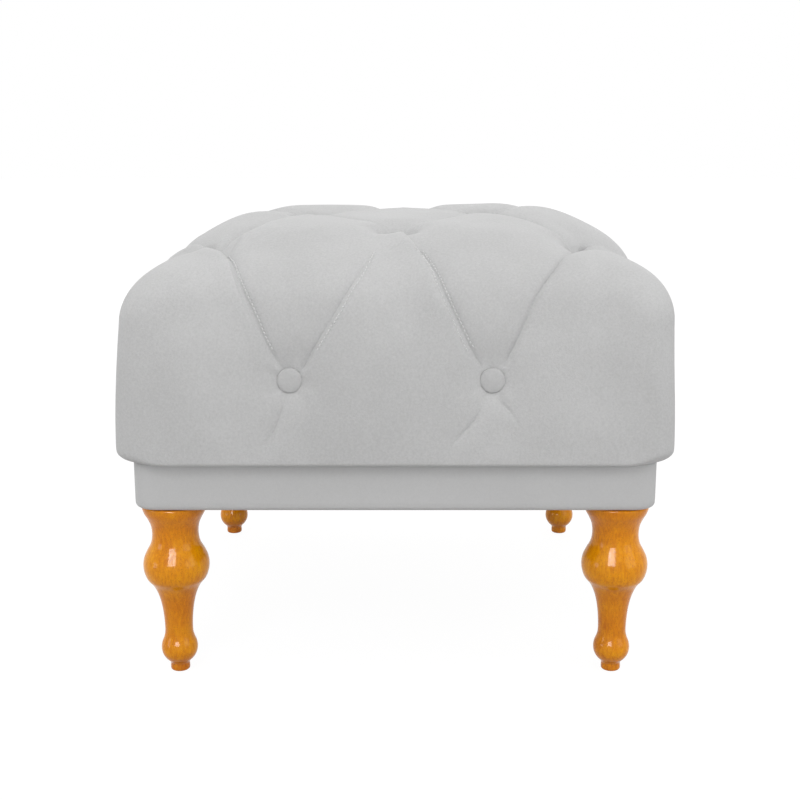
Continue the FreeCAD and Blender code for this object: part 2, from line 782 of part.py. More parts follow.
for label, sign in (("rail_left", -1), ("rail_right", 1)):
    body = plate(label, rail, (rail_half - rail) * 2, rail_h, rail_mid * sign, NIL, rail_z)
    outer = sign * float(rail) / 2
    low = edges_where(body, lambda b: near(b.ZMax, 0) and near(b.XMin, outer) and near(b.XMax, outer))
    round_edges(body, label + "_round", low, rail_round)
    screws = [(reach * s, rail_h / 2) for s in (-1, 1) for reach in rail_spots]
    bore(body, label + "_screws", screws, hole_r, "YZ_Plane", lift=rail, up=False)
    bore(body, label + "_sinks", screws, sink_r, "YZ_Plane", lift=rail / 2 * sign, depth=sink, up=sign < 0)
    legs_at = [((staple_row - rail_mid) * sign, y) for y in staple_legs]
    bore(body, label + "_staples", legs_at, staple_hole, depth=staple_bite)

bolt_r, bolt_depth = size("bolt_radius"), size("bolt_depth")
nut_r, nut_l = size("nut_radius"), size("nut_length")
nut_x = leg_reach - block_at
rail_bite = screw_l - (rail - sink) + clearance
for sx, sy in corners:
    label = "corner_block_%s_%s" % ("front" if sy < 0 else "back", "left" if sx < 0 else "right")
    body = plate(label, block_half * 2, block_half * 2, rail_h, block_at * sx, block_at * sy, rail_z)
    axis = [(nut_x * sx, nut_x * sy)]
    bore(body, label + "_nut", axis, nut_r + clearance, depth=nut_l + clearance)
    bore(body, label + "_flange", axis, size("nut_flange_radius") + clearance, depth=size("nut_flange"))
    ups = [
        ((dx - block_half / 4) * sx, (dy - block_half / 4) * sy)
        for dx, dy in block_offsets
    ]
    bore(body, label + "_screws", ups, hole_r)
    bore(body, label + "_sinks", ups, sink_r, depth=size("block_sink"))
    fore = [((reach - block_at) * sx, rail_h / 2) for reach in rail_spots]
    bore(
        body, label + "_fore", fore, hole_r, "XZ_Plane",
        lift=block_half * -sy, depth=rail_bite, up=sy > 0,
    )
    aside = [((reach - block_at) * sy, rail_h / 2) for reach in rail_spots]
    bore(
        body, label + "_aside", aside, hole_r, "YZ_Plane",
        lift=block_half * sx, depth=rail_bite, up=sx < 0,
    )

# Plinth cover: fabric over the rails, turned in above and below
plinth_side = size("plinth_side")
skirt = plate("plinth_cover", plinth_side, plinth_side, rail_h + fabric * 2, NIL, NIL, plinth_z)
quarter_bulge_share = 1 - math.sqrt(0.5)


def square_pocket(body, name, width, lift, depth, up=False, corner=NIL):
    """A square pocket about the body's middle, with rounded corners if asked."""
    sketch = new_sketch(body, name + "_plan", lift=lift)
    x = width / 2
    if float(corner) > 0:
        c, bulge = x - corner, corner * quarter_bulge_share
        draw_outline(sketch, [
            (-c, -x, NIL), (c, -x, bulge), (x, -c, NIL), (x, c, bulge),
            (c, x, NIL), (-c, x, bulge), (-x, c, NIL), (-x, -c, bulge),
        ])
    else:
        rectangle(sketch, width, width)
    pocket = body.newObject("PartDesign::Pocket", name)
    pocket.Profile = sketch
    pocket.Reversed = up
    pocket.setExpression("Length", depth.text)


square_pocket(skirt, "skirt_room", rail_half * 2, fabric + rail_h, rail_h, corner=rail_corner)
room, outer = float(rail_half), float(plinth_half)
low = edges_where(skirt, lambda b: near(b.ZMax, fabric) and near(b.YMin, -room) and near(b.YMax, -room))
round_edges(skirt, "room_round", low, rail_round)
ends = edges_where(skirt, lambda b: near(abs(b.XMin), outer) and near(abs(b.YMin), outer)
                   and near(b.XLength, 0) and near(b.YLength, 0))
round_edges(skirt, "skirt_corners", ends, size("plinth_corner"))
low = edges_where(skirt, lambda b: near(b.ZMax, 0) and near(b.YMin, -outer) and near(b.YMax, -outer))
round_edges(skirt, "skirt_round", low, size("plinth_edge_round"))
square_pocket(skirt, "skirt_top", (plinth_half - size("top_return")) * 2, fabric * 2 + rail_h, fabric)
square_pocket(skirt, "skirt_below", (plinth_half - size("bottom_return")) * 2, NIL, fabric, True)
leg_spots = [spot(sx, sy, leg_reach) for sx, sy in corners]
bolt_hole = bolt_r + clearance
bore(skirt, "skirt_bolts", leg_spots, bolt_hole, depth=fabric * 2)
staple_spots = [(x, staple_row * s) for s in (-1, 1) for x in staple_legs]
staple_spots += [(staple_row * s, y) for s in (-1, 1) for y in staple_legs]
bore(skirt, "skirt_staples", staple_spots, staple_hole, depth=fabric * 2)

# Dust cover: the thin cloth that closes the underside
dust = plate("dust_cover", dust_half * 2, dust_half * 2, size("dust_sheet"), NIL, NIL, dust_z)
bore(dust, "dust_bolts", leg_spots, bolt_hole)
bore(dust, "dust_staples", staple_spots, staple_hole)

# Legs: turned wood with a small bead over the foot, a big bead, a neck and a collar
foot_r, foot_edge, foot_h = size("foot_radius"), size("foot_edge"), size("foot_height")
shaft_r, neck_r, top_r = size("shaft_radius"), size("leg_neck_radius"), size("leg_top_radius")
shaft_z = foot_h + size("small_bead_length")
collar_z = dust_z - size("collar_height")
flare_z = collar_z - size("flare_length")
neck_z = flare_z - size("leg_neck_length")
bead_r, bead_foot_r = size("big_bead_radius"), size("bead_foot_radius")
bead_up = (bead_r * bead_r - neck_r * neck_r).root()
bead_down = (bead_r * bead_r - bead_foot_r * bead_foot_r).root()
bead_z = neck_z - bead_up - bead_down
bead_chord2 = (bead_up + bead_down) * (bead_up + bead_down) + (neck_r - bead_foot_r) * (neck_r - bead_foot_r)
bead_bulge = bead_r - (bead_r * bead_r - bead_chord2 / 4).root()
collar_edge = size("collar_edge")
leg_profile = [
    (NIL, NIL, NIL),
    (foot_r - foot_edge, NIL, foot_edge * 0.29),
    (foot_r, foot_edge, NIL),
    (size("ankle_radius"), foot_h, size("small_bead_bulge")),
    (shaft_r, shaft_z, NIL),
    (shaft_r, shaft_z + size("shaft_length"), -size("shaft_hollow")),
    (bead_foot_r, bead_z, bead_bulge),
    (neck_r, neck_z, -size("neck_hollow")),
    (neck_r, flare_z, -size("flare_hollow")),
    (size("collar_radius"), collar_z, NIL),
    (top_r, dust_z - collar_edge, collar_edge * 0.29),
    (top_r - collar_edge, dust_z, NIL),
    (NIL, dust_z, NIL),
]
for sx, sy in corners:
    label = "leg_%s_%s" % ("front" if sy < 0 else "back", "left" if sx < 0 else "right")
    body = turned(label, leg_profile)
    bore(body, label + "_bore", [(NIL, NIL)], bolt_hole, lift=dust_z, depth=bolt_depth + clearance, up=False)
    place(body, leg_reach * sx, leg_reach * sy, NIL)
    keep(body, label)

# Fasteners, each drawn once and then set in its places
bolt_l = bolt_depth + rail_z + nut_l - dust_z
chamfer = size("bolt_chamfer")
bolt_form = turned("bolt_form", [
    (NIL, NIL, NIL), (bolt_r - chamfer, NIL, NIL), (bolt_r, chamfer, NIL),
    (bolt_r, bolt_l - chamfer, NIL), (bolt_r - chamfer, bolt_l, NIL), (NIL, bolt_l, NIL),
])
flange_r, flange = size("nut_flange_radius"), size("nut_flange")
nut_form = turned("nut_form", [
    (bolt_hole, NIL, NIL), (flange_r, NIL, NIL), (flange_r, flange, NIL),
    (nut_r, flange, NIL), (nut_r, nut_l, NIL), (bolt_hole, nut_l, NIL),
])
head_h = size("head_height")
screw_form = turned("screw_form", [
    (NIL, -head_h, NIL), (head_r - head_h / 2, -head_h, head_h * 0.15), (head_r, -head_h / 2, NIL),
    (head_r, NIL, NIL), (screw_r, NIL, NIL), (screw_r, screw_l - size("screw_tip"), NIL),
    (NIL, screw_l, NIL),
])
doc.recompute()


def set_in_places(label, shape, seats):
    """One node with a copy of a fastener at each seat: (x, y, z) and the way it points."""
    copies = []
    for at, way in seats:
        copy = shape.copy()
        copy.Placement = FreeCAD.Placement(Vector(*[float(c) for c in at]), Rotation(up_z, way))
        copies.append(copy)
    return solid_feature(label, Part.makeCompound(copies))


down_z = Vector(0, 0, -1)
leg_seats = [((leg_reach * sx, leg_reach * sy, dust_z - bolt_depth), up_z) for sx, sy in corners]
set_in_places("hanger_bolts", bolt_form.Shape.Solids[0], leg_seats)
nut_seats = [((leg_reach * sx, leg_reach * sy, rail_z), up_z) for sx, sy in corners]
set_in_places("insert_nuts", nut_form.Shape.Solids[0], nut_seats)

screw = screw_form.Shape.Solids[0]
frame_seats, rail_seats = [], []
panel_sink = frame_half - sink
rail_sink = rail_half - sink
for sx, sy in corners:
    x, y = post_at * sx, post_at * sy
    frame_seats += [
        ((x, y, base_z + sink), up_z),
        ((x, y, deck_z + board - sink), down_z),
        ((x, panel_sink * sy, panel_z + post_screw - stagger), Vector(0, -sy, 0)),
        ((panel_sink * sx, y, panel_z + post_screw + stagger), Vector(-sx, 0, 0)),
    ]
    for reach in rail_spots:
        rail_seats += [
            ((reach * sx, rail_sink * sy, rail_z + rail_h / 2), Vector(0, -sy, 0)),
            ((rail_sink * sx, reach * sy, rail_z + rail_h / 2), Vector(-sx, 0, 0)),
        ]
set_in_places("frame_screws", screw, frame_seats)
set_in_places("rail_screws", screw, rail_seats)
set_in_places("block_screws", screw, [((x, y, block_screw_z), up_z) for x, y in block_spots])

# Staples hold the dust cover: a flat crown below and two legs up into the rail.
wire_r, reach = float(size("staple_wire")), float(staple_reach)
crown_bar = Part.makeBox(2 * (reach + wire_r), 2 * wire_r, 2 * wire_r, Vector(-reach - wire_r, -wire_r, -2 * wire_r))
staple = crown_bar
for s in (-1, 1):
    staple = staple.fuse(Part.makeCylinder(wire_r, float(size("staple_depth")), Vector(s * reach, 0, 0)))
staple = staple.removeSplitter().Solids[0]
quarter = Rotation(up_z, 90)
staples = []
for s in (-1, 1):
    for along in staple_places:
        row, x = float(staple_row) * s, float(along)
        for at, turn in (((x, row), Rotation()), ((row, x), quarter)):
            copy = staple.copy()
            copy.Placement = FreeCAD.Placement(Vector(at[0], at[1], float(dust_z)), turn)
            staples.append(copy)
solid_feature("dust_cover_staples", Part.makeCompound(staples))

# Check every object before anything is written.
doc.recompute()
for obj in doc.Objects:
    if "Invalid" in obj.State or "Error" in obj.State:
        raise ValueError("%s is %s" % (obj.Label, ", ".join(obj.State)))
for obj in parts:
    if obj.Shape.isNull() or not obj.Shape.isValid() or not obj.Shape.Solids:
        raise ValueError(obj.Label + " has no valid shape")

os.makedirs("parts", exist_ok=True)
for obj in parts:
    obj.Shape.exportStep("parts/" + obj.Label + ".step")
    print("%-26s %3d solids %11.0f mm3" % (obj.Label, len(obj.Shape.Solids), obj.Shape.Volume))
print(len(parts), "nodes")
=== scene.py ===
# %% [markdown]
# # A tufted pouf on four turned legs
# The object is a low square seat: a thick cushion tufted in diamonds with covered
# buttons, a fabric plinth under it, and four turned legs of lacquered wood. The solid
# model gives every size and place. This lesson dresses it: soft parts are made again
# as fabric, and the hard parts keep their shape and get real finishes.

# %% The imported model
import json
import math

import bmesh
import bpy
import numpy as np
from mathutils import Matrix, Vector
from mathutils.bvhtree import BVHTree
from mathutils.kdtree import KDTree


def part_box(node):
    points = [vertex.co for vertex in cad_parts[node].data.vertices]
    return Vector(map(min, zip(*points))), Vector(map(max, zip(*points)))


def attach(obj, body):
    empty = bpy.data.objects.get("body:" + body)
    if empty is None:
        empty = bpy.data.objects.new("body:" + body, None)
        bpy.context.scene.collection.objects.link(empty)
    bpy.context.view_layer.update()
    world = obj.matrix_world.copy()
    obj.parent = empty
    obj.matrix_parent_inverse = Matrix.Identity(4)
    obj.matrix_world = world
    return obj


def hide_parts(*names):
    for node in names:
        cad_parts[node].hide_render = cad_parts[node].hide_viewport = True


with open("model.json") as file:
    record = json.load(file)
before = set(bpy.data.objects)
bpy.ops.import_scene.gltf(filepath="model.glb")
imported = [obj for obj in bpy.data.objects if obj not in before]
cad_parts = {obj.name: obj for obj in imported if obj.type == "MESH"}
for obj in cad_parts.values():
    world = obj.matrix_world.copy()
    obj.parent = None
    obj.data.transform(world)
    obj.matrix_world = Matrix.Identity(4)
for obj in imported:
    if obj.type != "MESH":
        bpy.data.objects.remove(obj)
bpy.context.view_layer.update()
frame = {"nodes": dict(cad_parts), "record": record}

mm = 0.001
cushion_low, cushion_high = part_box("cushion_cover")
plinth_low, plinth_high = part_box("plinth_cover")

# %% [markdown]
# ## The camera
# The photograph looks down at the pouf by about twelve degrees, from a little over a
# metre away. A camera that is only tilted, with no lens shift, keeps the legs nearly
# parallel as the photograph has them, and the other views turn it round without harm.

# %% Camera
photo_side = 800
film_side = 36


def add_object(name, data):
    """An object with this data, linked to the scene."""
    obj = bpy.data.objects.new(name, data)
    bpy.context.scene.collection.objects.link(obj)
    return obj


camera = add_object("camera", bpy.data.cameras.new("camera"))
bpy.context.scene.camera = camera
camera.location = (0.0043, -1.3482, 0.5174)
camera.rotation_euler = (math.radians(90 - 12.6), 0, 0)
camera.data.sensor_width = film_side
camera.data.lens = 57.89
print("camera lens %.2f mm" % camera.data.lens)

# %% [markdown]
# ## Helpers for materials
# Every finish here is a small network of nodes: a texture in object space feeds a ramp,
# and the ramp feeds the shader. The same few steps come back each time, so they are
# written once. A value that is the same all over is set on the shader's own socket.

# %% Node helpers
bpy.context.scene.view_settings.view_transform = "Standard"


def new_material(name, **values):
    """A material, its node tree and its shader, with the values given set on the shader."""
    mat = bpy.data.materials.new(name)
    mat.use_nodes = True
    shader = mat.node_tree.nodes["Principled BSDF"]
    for key, value in values.items():
        shader.inputs[key.replace("_", " ")].default_value = value
    return mat, mat.node_tree, shader


def feed(socket, value):
    """Feeds an input from another node's output, or sets it to a plain value."""
    if isinstance(value, bpy.types.NodeSocket):
        socket.id_data.links.new(value, socket)
    else:
        socket.default_value = value


def add_node(tree, kind, **values):
    """A node with its inputs fed by name and its settings filled in."""
    node = tree.nodes.new("ShaderNode" + kind)
    for key, value in values.items():
        if key.replace("_", " ") in node.inputs:
            feed(node.inputs[key.replace("_", " ")], value)
        else:
            setattr(node, key, value)
    return node


def texture(tree, kind, where, outlet="Fac", **values):
    """The output of a texture at the coordinates given."""
    return add_node(tree, "Tex" + kind, Vector=where, **values).outputs[outlet]


def maths(tree, operation, *values):
    """One step of arithmetic on outputs and plain numbers."""
    node = add_node(tree, "Math", operation=operation)
    for socket, value in zip(node.inputs, values):
        feed(socket, value)
    return node.outputs[0]


# %% Colour helpers
def srgb(r, g, b):
    """A colour written as 0 to 255, as Blender's linear values."""
    line = [c / 255 / 12.92 if c <= 10 else ((c / 255 + 0.055) / 1.055) ** 2.4 for c in (r, g, b)]
    return (*line, 1)


def ramp(tree, source, *stops):
    """A colour ramp fed by a value. Each stop is a place and a colour."""
    node = add_node(tree, "ValToRGB")
    while len(node.color_ramp.elements) < len(stops):
        node.color_ramp.elements.new(0.5)
    for element, (place, colour) in zip(node.color_ramp.elements, stops):
        element.position = place
        element.color = colour
    feed(node.inputs["Fac"], source)
    return node.outputs["Color"]


def multiplied(tree, colour, tint, factor):
    """One colour darkened by another."""
    node = add_node(tree, "Mix", data_type="RGBA", blend_type="MULTIPLY", Factor=factor)
    feed(node.inputs[6], colour)
    feed(node.inputs[7], tint)
    return node.outputs[2]


def bend_shading(tree, shader, height, strength, distance):
    """Relief too fine for the mesh: a height that only bends the shading."""
    bump = add_node(tree, "Bump", Strength=strength, Distance=distance, Height=height)
    feed(shader.inputs["Normal"], bump.outputs["Normal"])


# %% [markdown]
# ## Floor, backdrop and light
# A shop photograph has a white room with no horizon. The floor is one wide pale sheet
# that shows white to the camera, but still takes a faint contact shadow. The light is a
# bright world with a large lamp above, a small window at the front left, a low lamp at
# the left, a broad fill at the right and one lamp behind. The tall window in front only
# shows as gloss, and gives the lacquer of the legs its long highlight.

# %% Floor and world
floor_half = 9


def seen_directly(tree):
    """1 for rays from the camera, by gloss or through glass, and 0 for light that spreads."""
    ray = add_node(tree, "LightPath").outputs
    by_gloss = maths(tree, "MAXIMUM", ray["Is Glossy Ray"], ray["Is Transmission Ray"])
    return maths(tree, "MAXIMUM", by_gloss, ray["Is Camera Ray"])


floor_mesh = bpy.data.meshes.new("floor")
floor_corners = [(x * floor_half, y * floor_half, 0) for x, y in ((-1, -1), (1, -1), (1, 1), (-1, 1))]
floor_mesh.from_pydata(floor_corners, [], [(0, 1, 2, 3)])
floor = add_object("floor", floor_mesh)

floor_paint, tree, shader = new_material("white_floor", Base_Color=(0.45, 0.45, 0.45, 1), Roughness=0.9)
glow = add_node(tree, "Emission", Color=(1, 1, 1, 1), Strength=1.16)
blend = add_node(tree, "MixShader", Fac=maths(tree, "MULTIPLY", seen_directly(tree), 0.82))
feed(blend.inputs[1], shader.outputs[0])
feed(blend.inputs[2], glow.outputs[0])
feed(tree.nodes["Material Output"].inputs["Surface"], blend.outputs[0])
floor_mesh.materials.append(floor_paint)

world = bpy.data.worlds.new("studio")
bpy.context.scene.world = world
world.use_nodes = True
tree = world.node_tree
back = tree.nodes["Background"]
back.inputs["Color"].default_value = (1, 1, 1, 1)
level = add_node(tree, "MapRange", Value=seen_directly(tree), To_Min=0.76, To_Max=1.0)
feed(back.inputs["Strength"], level.outputs["Result"])
print("floor: %d m wide" % (2 * floor_half))

# %% Lamps
middle, low_front = (0, 0, 0.25), (0, -0.2, 0.1)
lamps = [
    # name, place, aim, width, height, power
    ("overhead", (0.15, 0.1, 2.3), middle, 2.4, 2.0, 10.5),
    ("window", (-0.75, -2.0, 1.9), middle, 0.36, 0.8, 9),
    ("left_wall", (-2.0, -0.9, 0.3), low_front, 0.6, 0.6, 4.5),
    ("fill", (2.0, -1.5, 0.8), middle, 1.6, 1.4, 12),
    ("back_wall", (0.2, 2.3, 1.1), middle, 2.0, 1.4, 10),
    ("tall_window", (-0.45, -1.9, 1.25), low_front, 0.95, 1.5, 85),
]
for name, place, aim, width, height, power in lamps:
    light = bpy.data.lights.new(name, "AREA")
    light.shape = "RECTANGLE"
    light.size, light.size_y, light.energy = width, height, power
    lamp = add_object(name, light)
    lamp.location = place
    lamp.rotation_euler = (Vector(aim) - Vector(place)).to_track_quat("-Z", "Y").to_euler()
    lamp.visible_diffuse = name != "tall_window"
print("lamps:", len(lamps))

# %% [markdown]
# ## The grey fabric
# The cover is a soft brushed cloth: from afar it is an even light grey, and near by it
# shows a fine nap with pale and dark specks. Noise in object space gives the specks and
# the broad shading of a brushed pile, so the cloth needs no unwrapping. The sheen on the
# shader brightens the cloth where it turns away.

# %% Fabric finish
weave = 900.0


def brushed_cloth(name, light, dark, nap):
    """Grey cloth: specks of the weave, cloudy patches of brushed pile, and a fine nap."""
    mat, tree, shader = new_material(
        name, Roughness=0.92, Specular_IOR_Level=0.1, Sheen_Weight=0.18, Sheen_Roughness=0.45)
    where = add_node(tree, "TexCoord").outputs["Object"]
    broad = texture(tree, "Noise", where, Scale=22.0, Detail=5.0, Roughness=0.62)
    speck = texture(tree, "Noise", where, Scale=weave * 0.55, Detail=3.0, Roughness=0.7)
    thread = texture(tree, "Voronoi", where, "Distance", Scale=weave)
    patch = texture(tree, "Noise", where, Scale=9.0, Detail=3.0, Roughness=0.5, Distortion=0.4)
    brushed = add_node(tree, "MapRange", Value=patch, From_Min=0.3, From_Max=0.7, To_Min=-0.09, To_Max=0.09)
    cloudy = maths(tree, "ADD", maths(tree, "MULTIPLY", broad, 0.2), brushed.outputs["Result"])
    shade = ramp(tree, maths(tree, "MULTIPLY_ADD", speck, 0.8, cloudy), (0.32, dark), (0.68, light))
    feed(shader.inputs["Base Color"], shade)
    bend_shading(tree, shader, maths(tree, "ADD", speck, thread), nap, 0.6 * mm)
    return mat


cushion_cloth = brushed_cloth("cushion_cloth", srgb(198, 198, 198), srgb(184, 184, 184), nap=0.28)
plinth_cloth = brushed_cloth("plinth_cloth", srgb(195, 195, 195), srgb(190, 190, 190), nap=0.08)
button_cloth = brushed_cloth("button_cloth", srgb(194, 194, 194), srgb(184, 184, 184), nap=0.2)
print("cloth finishes:", cushion_cloth.name, plinth_cloth.name, button_cloth.name)

# %% [markdown]
# ## The cushion, step 1: its smooth block
# Under the tufting the cushion is a block with upright sides, a soft shoulder and a low
# crown. The mesh is made of rounded squares, one inside the other, with a grid of
# quads over the crown. A mesh of even quads matters here, because cloth simulation and
# later folds both need faces of one size.

# %% Curves that the pieces share
def ease(x):
    """A soft step from 0 to 1."""
    x = np.clip(x, 0, 1)
    return x * x * (3 - 2 * x)


def hump(x, width):
    """1 at x = 0, falling off to both sides like a bell."""
    return np.exp(-((x / width) ** 2))


def run_along(points):
    """The length of the way to each point of a line."""
    return np.concatenate([[0], np.cumsum(np.linalg.norm(np.diff(points, axis=0), axis=1))])


def smooth_through(x, xs, ys):
    """A smooth curve through points, with the mean of the two slopes at each point."""
    rise = np.diff(ys) / np.diff(xs)
    slope = np.concatenate([[rise[0]], (rise[1:] + rise[:-1]) / 2, [rise[-1]]])
    i = np.clip(np.searchsorted(xs, x) - 1, 0, len(xs) - 2)
    w = xs[i + 1] - xs[i]
    t = np.clip((x - xs[i]) / w, 0, 1)
    a, b = ys[i], ys[i + 1]
    return (
        a * (1 + 2 * t) * (1 - t) ** 2
        + slope[i] * w * t * (1 - t) ** 2
        + b * t * t * (3 - 2 * t)
        - slope[i + 1] * w * t * t * (1 - t)
    )


# %% Heights, insets and corners of the block
half_side = 249.5 * mm
cushion_floor = cushion_low.z
cushion_rise = cushion_high.z - cushion_low.z
face_foot, corner_foot, side_rise = 4 * mm, 13 * mm, 121 * mm
shoulder_rise, shoulder_run = 61 * mm, 78 * mm
lean_in, bulge_out = 3.5 * mm, 1.5 * mm
foot_corner, side_corner = 24 * mm, 38 * mm

shoulder = np.radians([0, 10, 20, 30, 40, 50, 60])
shoulder_inset = shoulder_run * (1 - np.cos(shoulder))
shoulder_inset += lean_in * (1 - shoulder_inset / shoulder_inset[-1])
shoulder_level = side_rise + shoulder_rise * np.sin(shoulder)
# the crown's own rows, as shares of the half side and of the whole rise
inset_share = np.array([0.28, 0.40, 0.50, 0.66, 0.84, 1.0])
level_share = np.array([0.912, 0.966, 0.993, 0.999, 1.0, 1.0])
corner_share = np.array([0.24, 0.264, 0.28, 0.24, 0.12, 0.0])
crown_inset = np.concatenate([shoulder_inset, half_side * inset_share])
crown_level = np.concatenate([shoulder_level, cushion_rise * level_share])
crown_corner = np.concatenate([side_corner * (1 + 0.2 * shoulder), half_side * corner_share])
crown_run = run_along(np.stack([crown_inset, crown_level], 1))


def crown_at(length):
    """Inset, level and corner radius at a length of the way up from the shoulder's foot."""
    return [smooth_through(length, crown_run, v) for v in (crown_inset, crown_level, crown_corner)]


print("from shoulder to middle: %.1f mm" % (crown_run[-1] / mm))

# %% A rounded square, and the rings of the side
side_steps = 96


def square_point(share, half, corner):
    """Points on a rounded square. Each whole share runs from one corner's middle to the next."""
    turn, along = np.divmod(share, 1.0)
    flat = half - corner
    bow = corner * math.pi / 4
    total = 2 * (flat + bow)
    s = along * total
    past_end = np.where(s > total - bow, (s - total + bow) / np.maximum(corner, 1e-9), 0)
    arc = np.where(s < bow, (s - bow) / np.maximum(corner, 1e-9), past_end)
    mid = np.clip(s, bow, total - bow) - total / 2
    x = np.where(arc == 0, mid, np.sign(arc) * (flat + corner * np.sin(np.abs(arc))))
    y = -(flat + corner * np.cos(arc))
    angle = turn * (math.pi / 2)
    return x * np.cos(angle) - y * np.sin(angle), x * np.sin(angle) + y * np.cos(angle)


def block_rows(hem, foot):
    """(inset, level, corner) of each ring, from the hem under the cushion up to the crown's grid."""
    rows = [(foot + hem * (1 - t), 0.0, foot_corner) for t in np.linspace(0, 1, 8)[:-1]]
    for a in np.linspace(0, math.pi / 2, 7)[:-1]:
        inset = foot * (1 - math.sin(a)) - bulge_out * math.sin(a)
        rows.append((inset, foot * (1 - math.cos(a)), foot_corner))
    for share in np.linspace(0, 1, 24)[:-1]:
        inset = -bulge_out + (lean_in + bulge_out) * share**2
        corner = foot_corner + (side_corner - foot_corner) * share**2
        rows.append((inset, foot + (side_rise - foot) * share, corner))
    return rows + [tuple(crown_at(s)) for s in np.linspace(0, crown_run[7], 24)]


def level_over(x, y):
    """Height of the smooth block's top over places in plan, by halving the search."""
    low, high = np.zeros_like(x), np.full_like(x, crown_run[-1])
    for _ in range(40):
        mid = (low + high) / 2
        inset, _, corner = crown_at(mid)
        dx = np.abs(x) - (half_side - inset - corner)
        dy = np.abs(y) - (half_side - inset - corner)
        out = np.hypot(np.maximum(dx, 0), np.maximum(dy, 0)) + np.minimum(np.maximum(dx, dy), 0) - corner
        low, high = np.where(out < 0, mid, low), np.where(out < 0, high, mid)
    return crown_at((low + high) / 2)[1]


print("rings up the side:", len(block_rows(50 * mm, face_foot)))

# %% [markdown]
# The rings end where the crown begins. From there a grid of quads closes the top. Its
# rim is the last ring, and towards the middle it eases into a plain square grid, so no
# point of the mesh has more than a few faces.

# %% The whole block as a mesh
def ring_quads(rings, count, first=0):
    """Quads between rings of points, each ring following the last in the list of points."""
    quads = []
    for r in range(rings - 1):
        low, high = first + r * count, first + (r + 1) * count
        for k in range(count):
            j = (k + 1) % count
            quads.append((low + k, low + j, high + j, high + k))
    return quads


def crown_grid(rows, ring):
    """Places inside the last ring, and the quads between them and that ring."""
    top_inset, _, top_corner = rows[-1]
    top_half = half_side - top_inset
    n = side_steps
    u, v = np.meshgrid(np.linspace(-1, 1, n + 1), np.linspace(-1, 1, n + 1), indexing="ij")
    reach = np.maximum(np.abs(u), np.abs(v))
    rim_u, rim_v = u / np.maximum(reach, 1e-9), v / np.maximum(reach, 1e-9)
    near_one = 1 - 1e-9
    side = np.where(rim_v <= -near_one, 0, np.where(rim_u >= near_one, 1, np.where(rim_v >= near_one, 2, 3)))
    along = np.choose(side, [(rim_u + 1) / 2, (rim_v + 1) / 2, (1 - rim_u) / 2, (1 - rim_v) / 2])
    rim_x, rim_y = square_point((side + along) % 4, top_half, top_corner)
    round_off = reach**3
    x = (1 - round_off) * u * top_half + round_off * reach * rim_x
    y = (1 - round_off) * v * top_half + round_off * reach * rim_y
    z = cushion_floor + level_over(x, y)
    first, base = (len(rows) - 1) * ring, len(rows) * ring
    index = np.full((n + 1, n + 1), -1)
    for i in range(n + 1):
        index[i, 0], index[n, i] = first + i, first + n + i
        index[n - i, n], index[0, n - i] = first + 2 * n + i, first + (3 * n + i) % ring
    index[0, 0] = first
    inner = [(i, j) for i in range(1, n) for j in range(1, n)]
    for k, (i, j) in enumerate(inner):
        index[i, j] = base + k
    quads = []
    for i in range(n):
        for j in range(n):
            quads.append((index[i, j], index[i + 1, j], index[i + 1, j + 1], index[i, j + 1]))
    return np.array([(x[i, j], y[i, j], z[i, j]) for i, j in inner]), quads


def block_mesh(hem):
    """Vertex places and quads of the smooth block."""
    rows = block_rows(hem, face_foot)
    ring = 4 * side_steps
    share = np.arange(ring) / side_steps
    # the hem is nearly sharp along the faces and rounder at the corners
    in_corner = ease((np.abs(2 * (share % 1) - 1) - 0.85) / 0.12)[:, None]
    places = []
    for face_row, corner_row in zip(rows, block_rows(hem, corner_foot)):
        both = []
        for inset, level, corner in (face_row, corner_row):
            x, y = square_point(share, half_side - inset, corner)
            both.append(np.stack([x, y, np.full(ring, cushion_floor + level)], 1))
        places.append(both[0] * (1 - in_corner) + both[1] * in_corner)
    grid, quads = crown_grid(rows, ring)
    faces = ring_quads(len(rows), ring) + quads
    return np.concatenate(places + [grid]), [tuple(int(k) for k in f) for f in faces]


block_places, block_faces = block_mesh(50 * mm)
print("smooth block:", len(block_places), "points,", len(block_faces), "quads")

# %% [markdown]
# Hand stuffing is never even. The photograph's outline shows a few fuller places at the
# shoulders, and a front face that leans back earlier than the sides do. Soft bells and
# steps move the block's points, so that no ridge shows where one form ends.

# %% Fuller places, and the lean of the front and back
fuller = [
    # middle of the place, how far it stands out, how wide it is
    ((0.18, 0.02, 0.412), 18 * mm, 95 * mm),
    ((-0.18, 0.02, 0.415), 10 * mm, 90 * mm),
    ((-0.225, 0.0, 0.375), -7 * mm, 45 * mm),
    ((0.225, -0.195, 0.375), 9 * mm, 60 * mm),
    ((-0.225, -0.195, 0.375), 3 * mm, 60 * mm),
]
away = block_places - np.array([0, 0, cushion_floor + 80 * mm])
away /= np.linalg.norm(away, axis=1)[:, None]
for centre, rise, reach in fuller:
    near = np.linalg.norm(block_places - np.array(centre), axis=1)
    block_places = block_places + away * (rise * hump(near, reach))[:, None]

x_out, y_out = np.abs(block_places[:, 0]), np.abs(block_places[:, 1])
level = block_places[:, 2] - cushion_floor
lean = 4 * mm * ease((level - 30 * mm) / (110 * mm)) + 4 * mm * hump(level - 136 * mm, 20 * mm)
lean *= ease((y_out - 130 * mm) / (90 * mm)) * (1 - ease((x_out - 190 * mm) / (50 * mm)))
block_places[:, 1] -= np.sign(block_places[:, 1]) * lean
print("the front leans back by up to %.1f mm" % (lean.max() / mm))


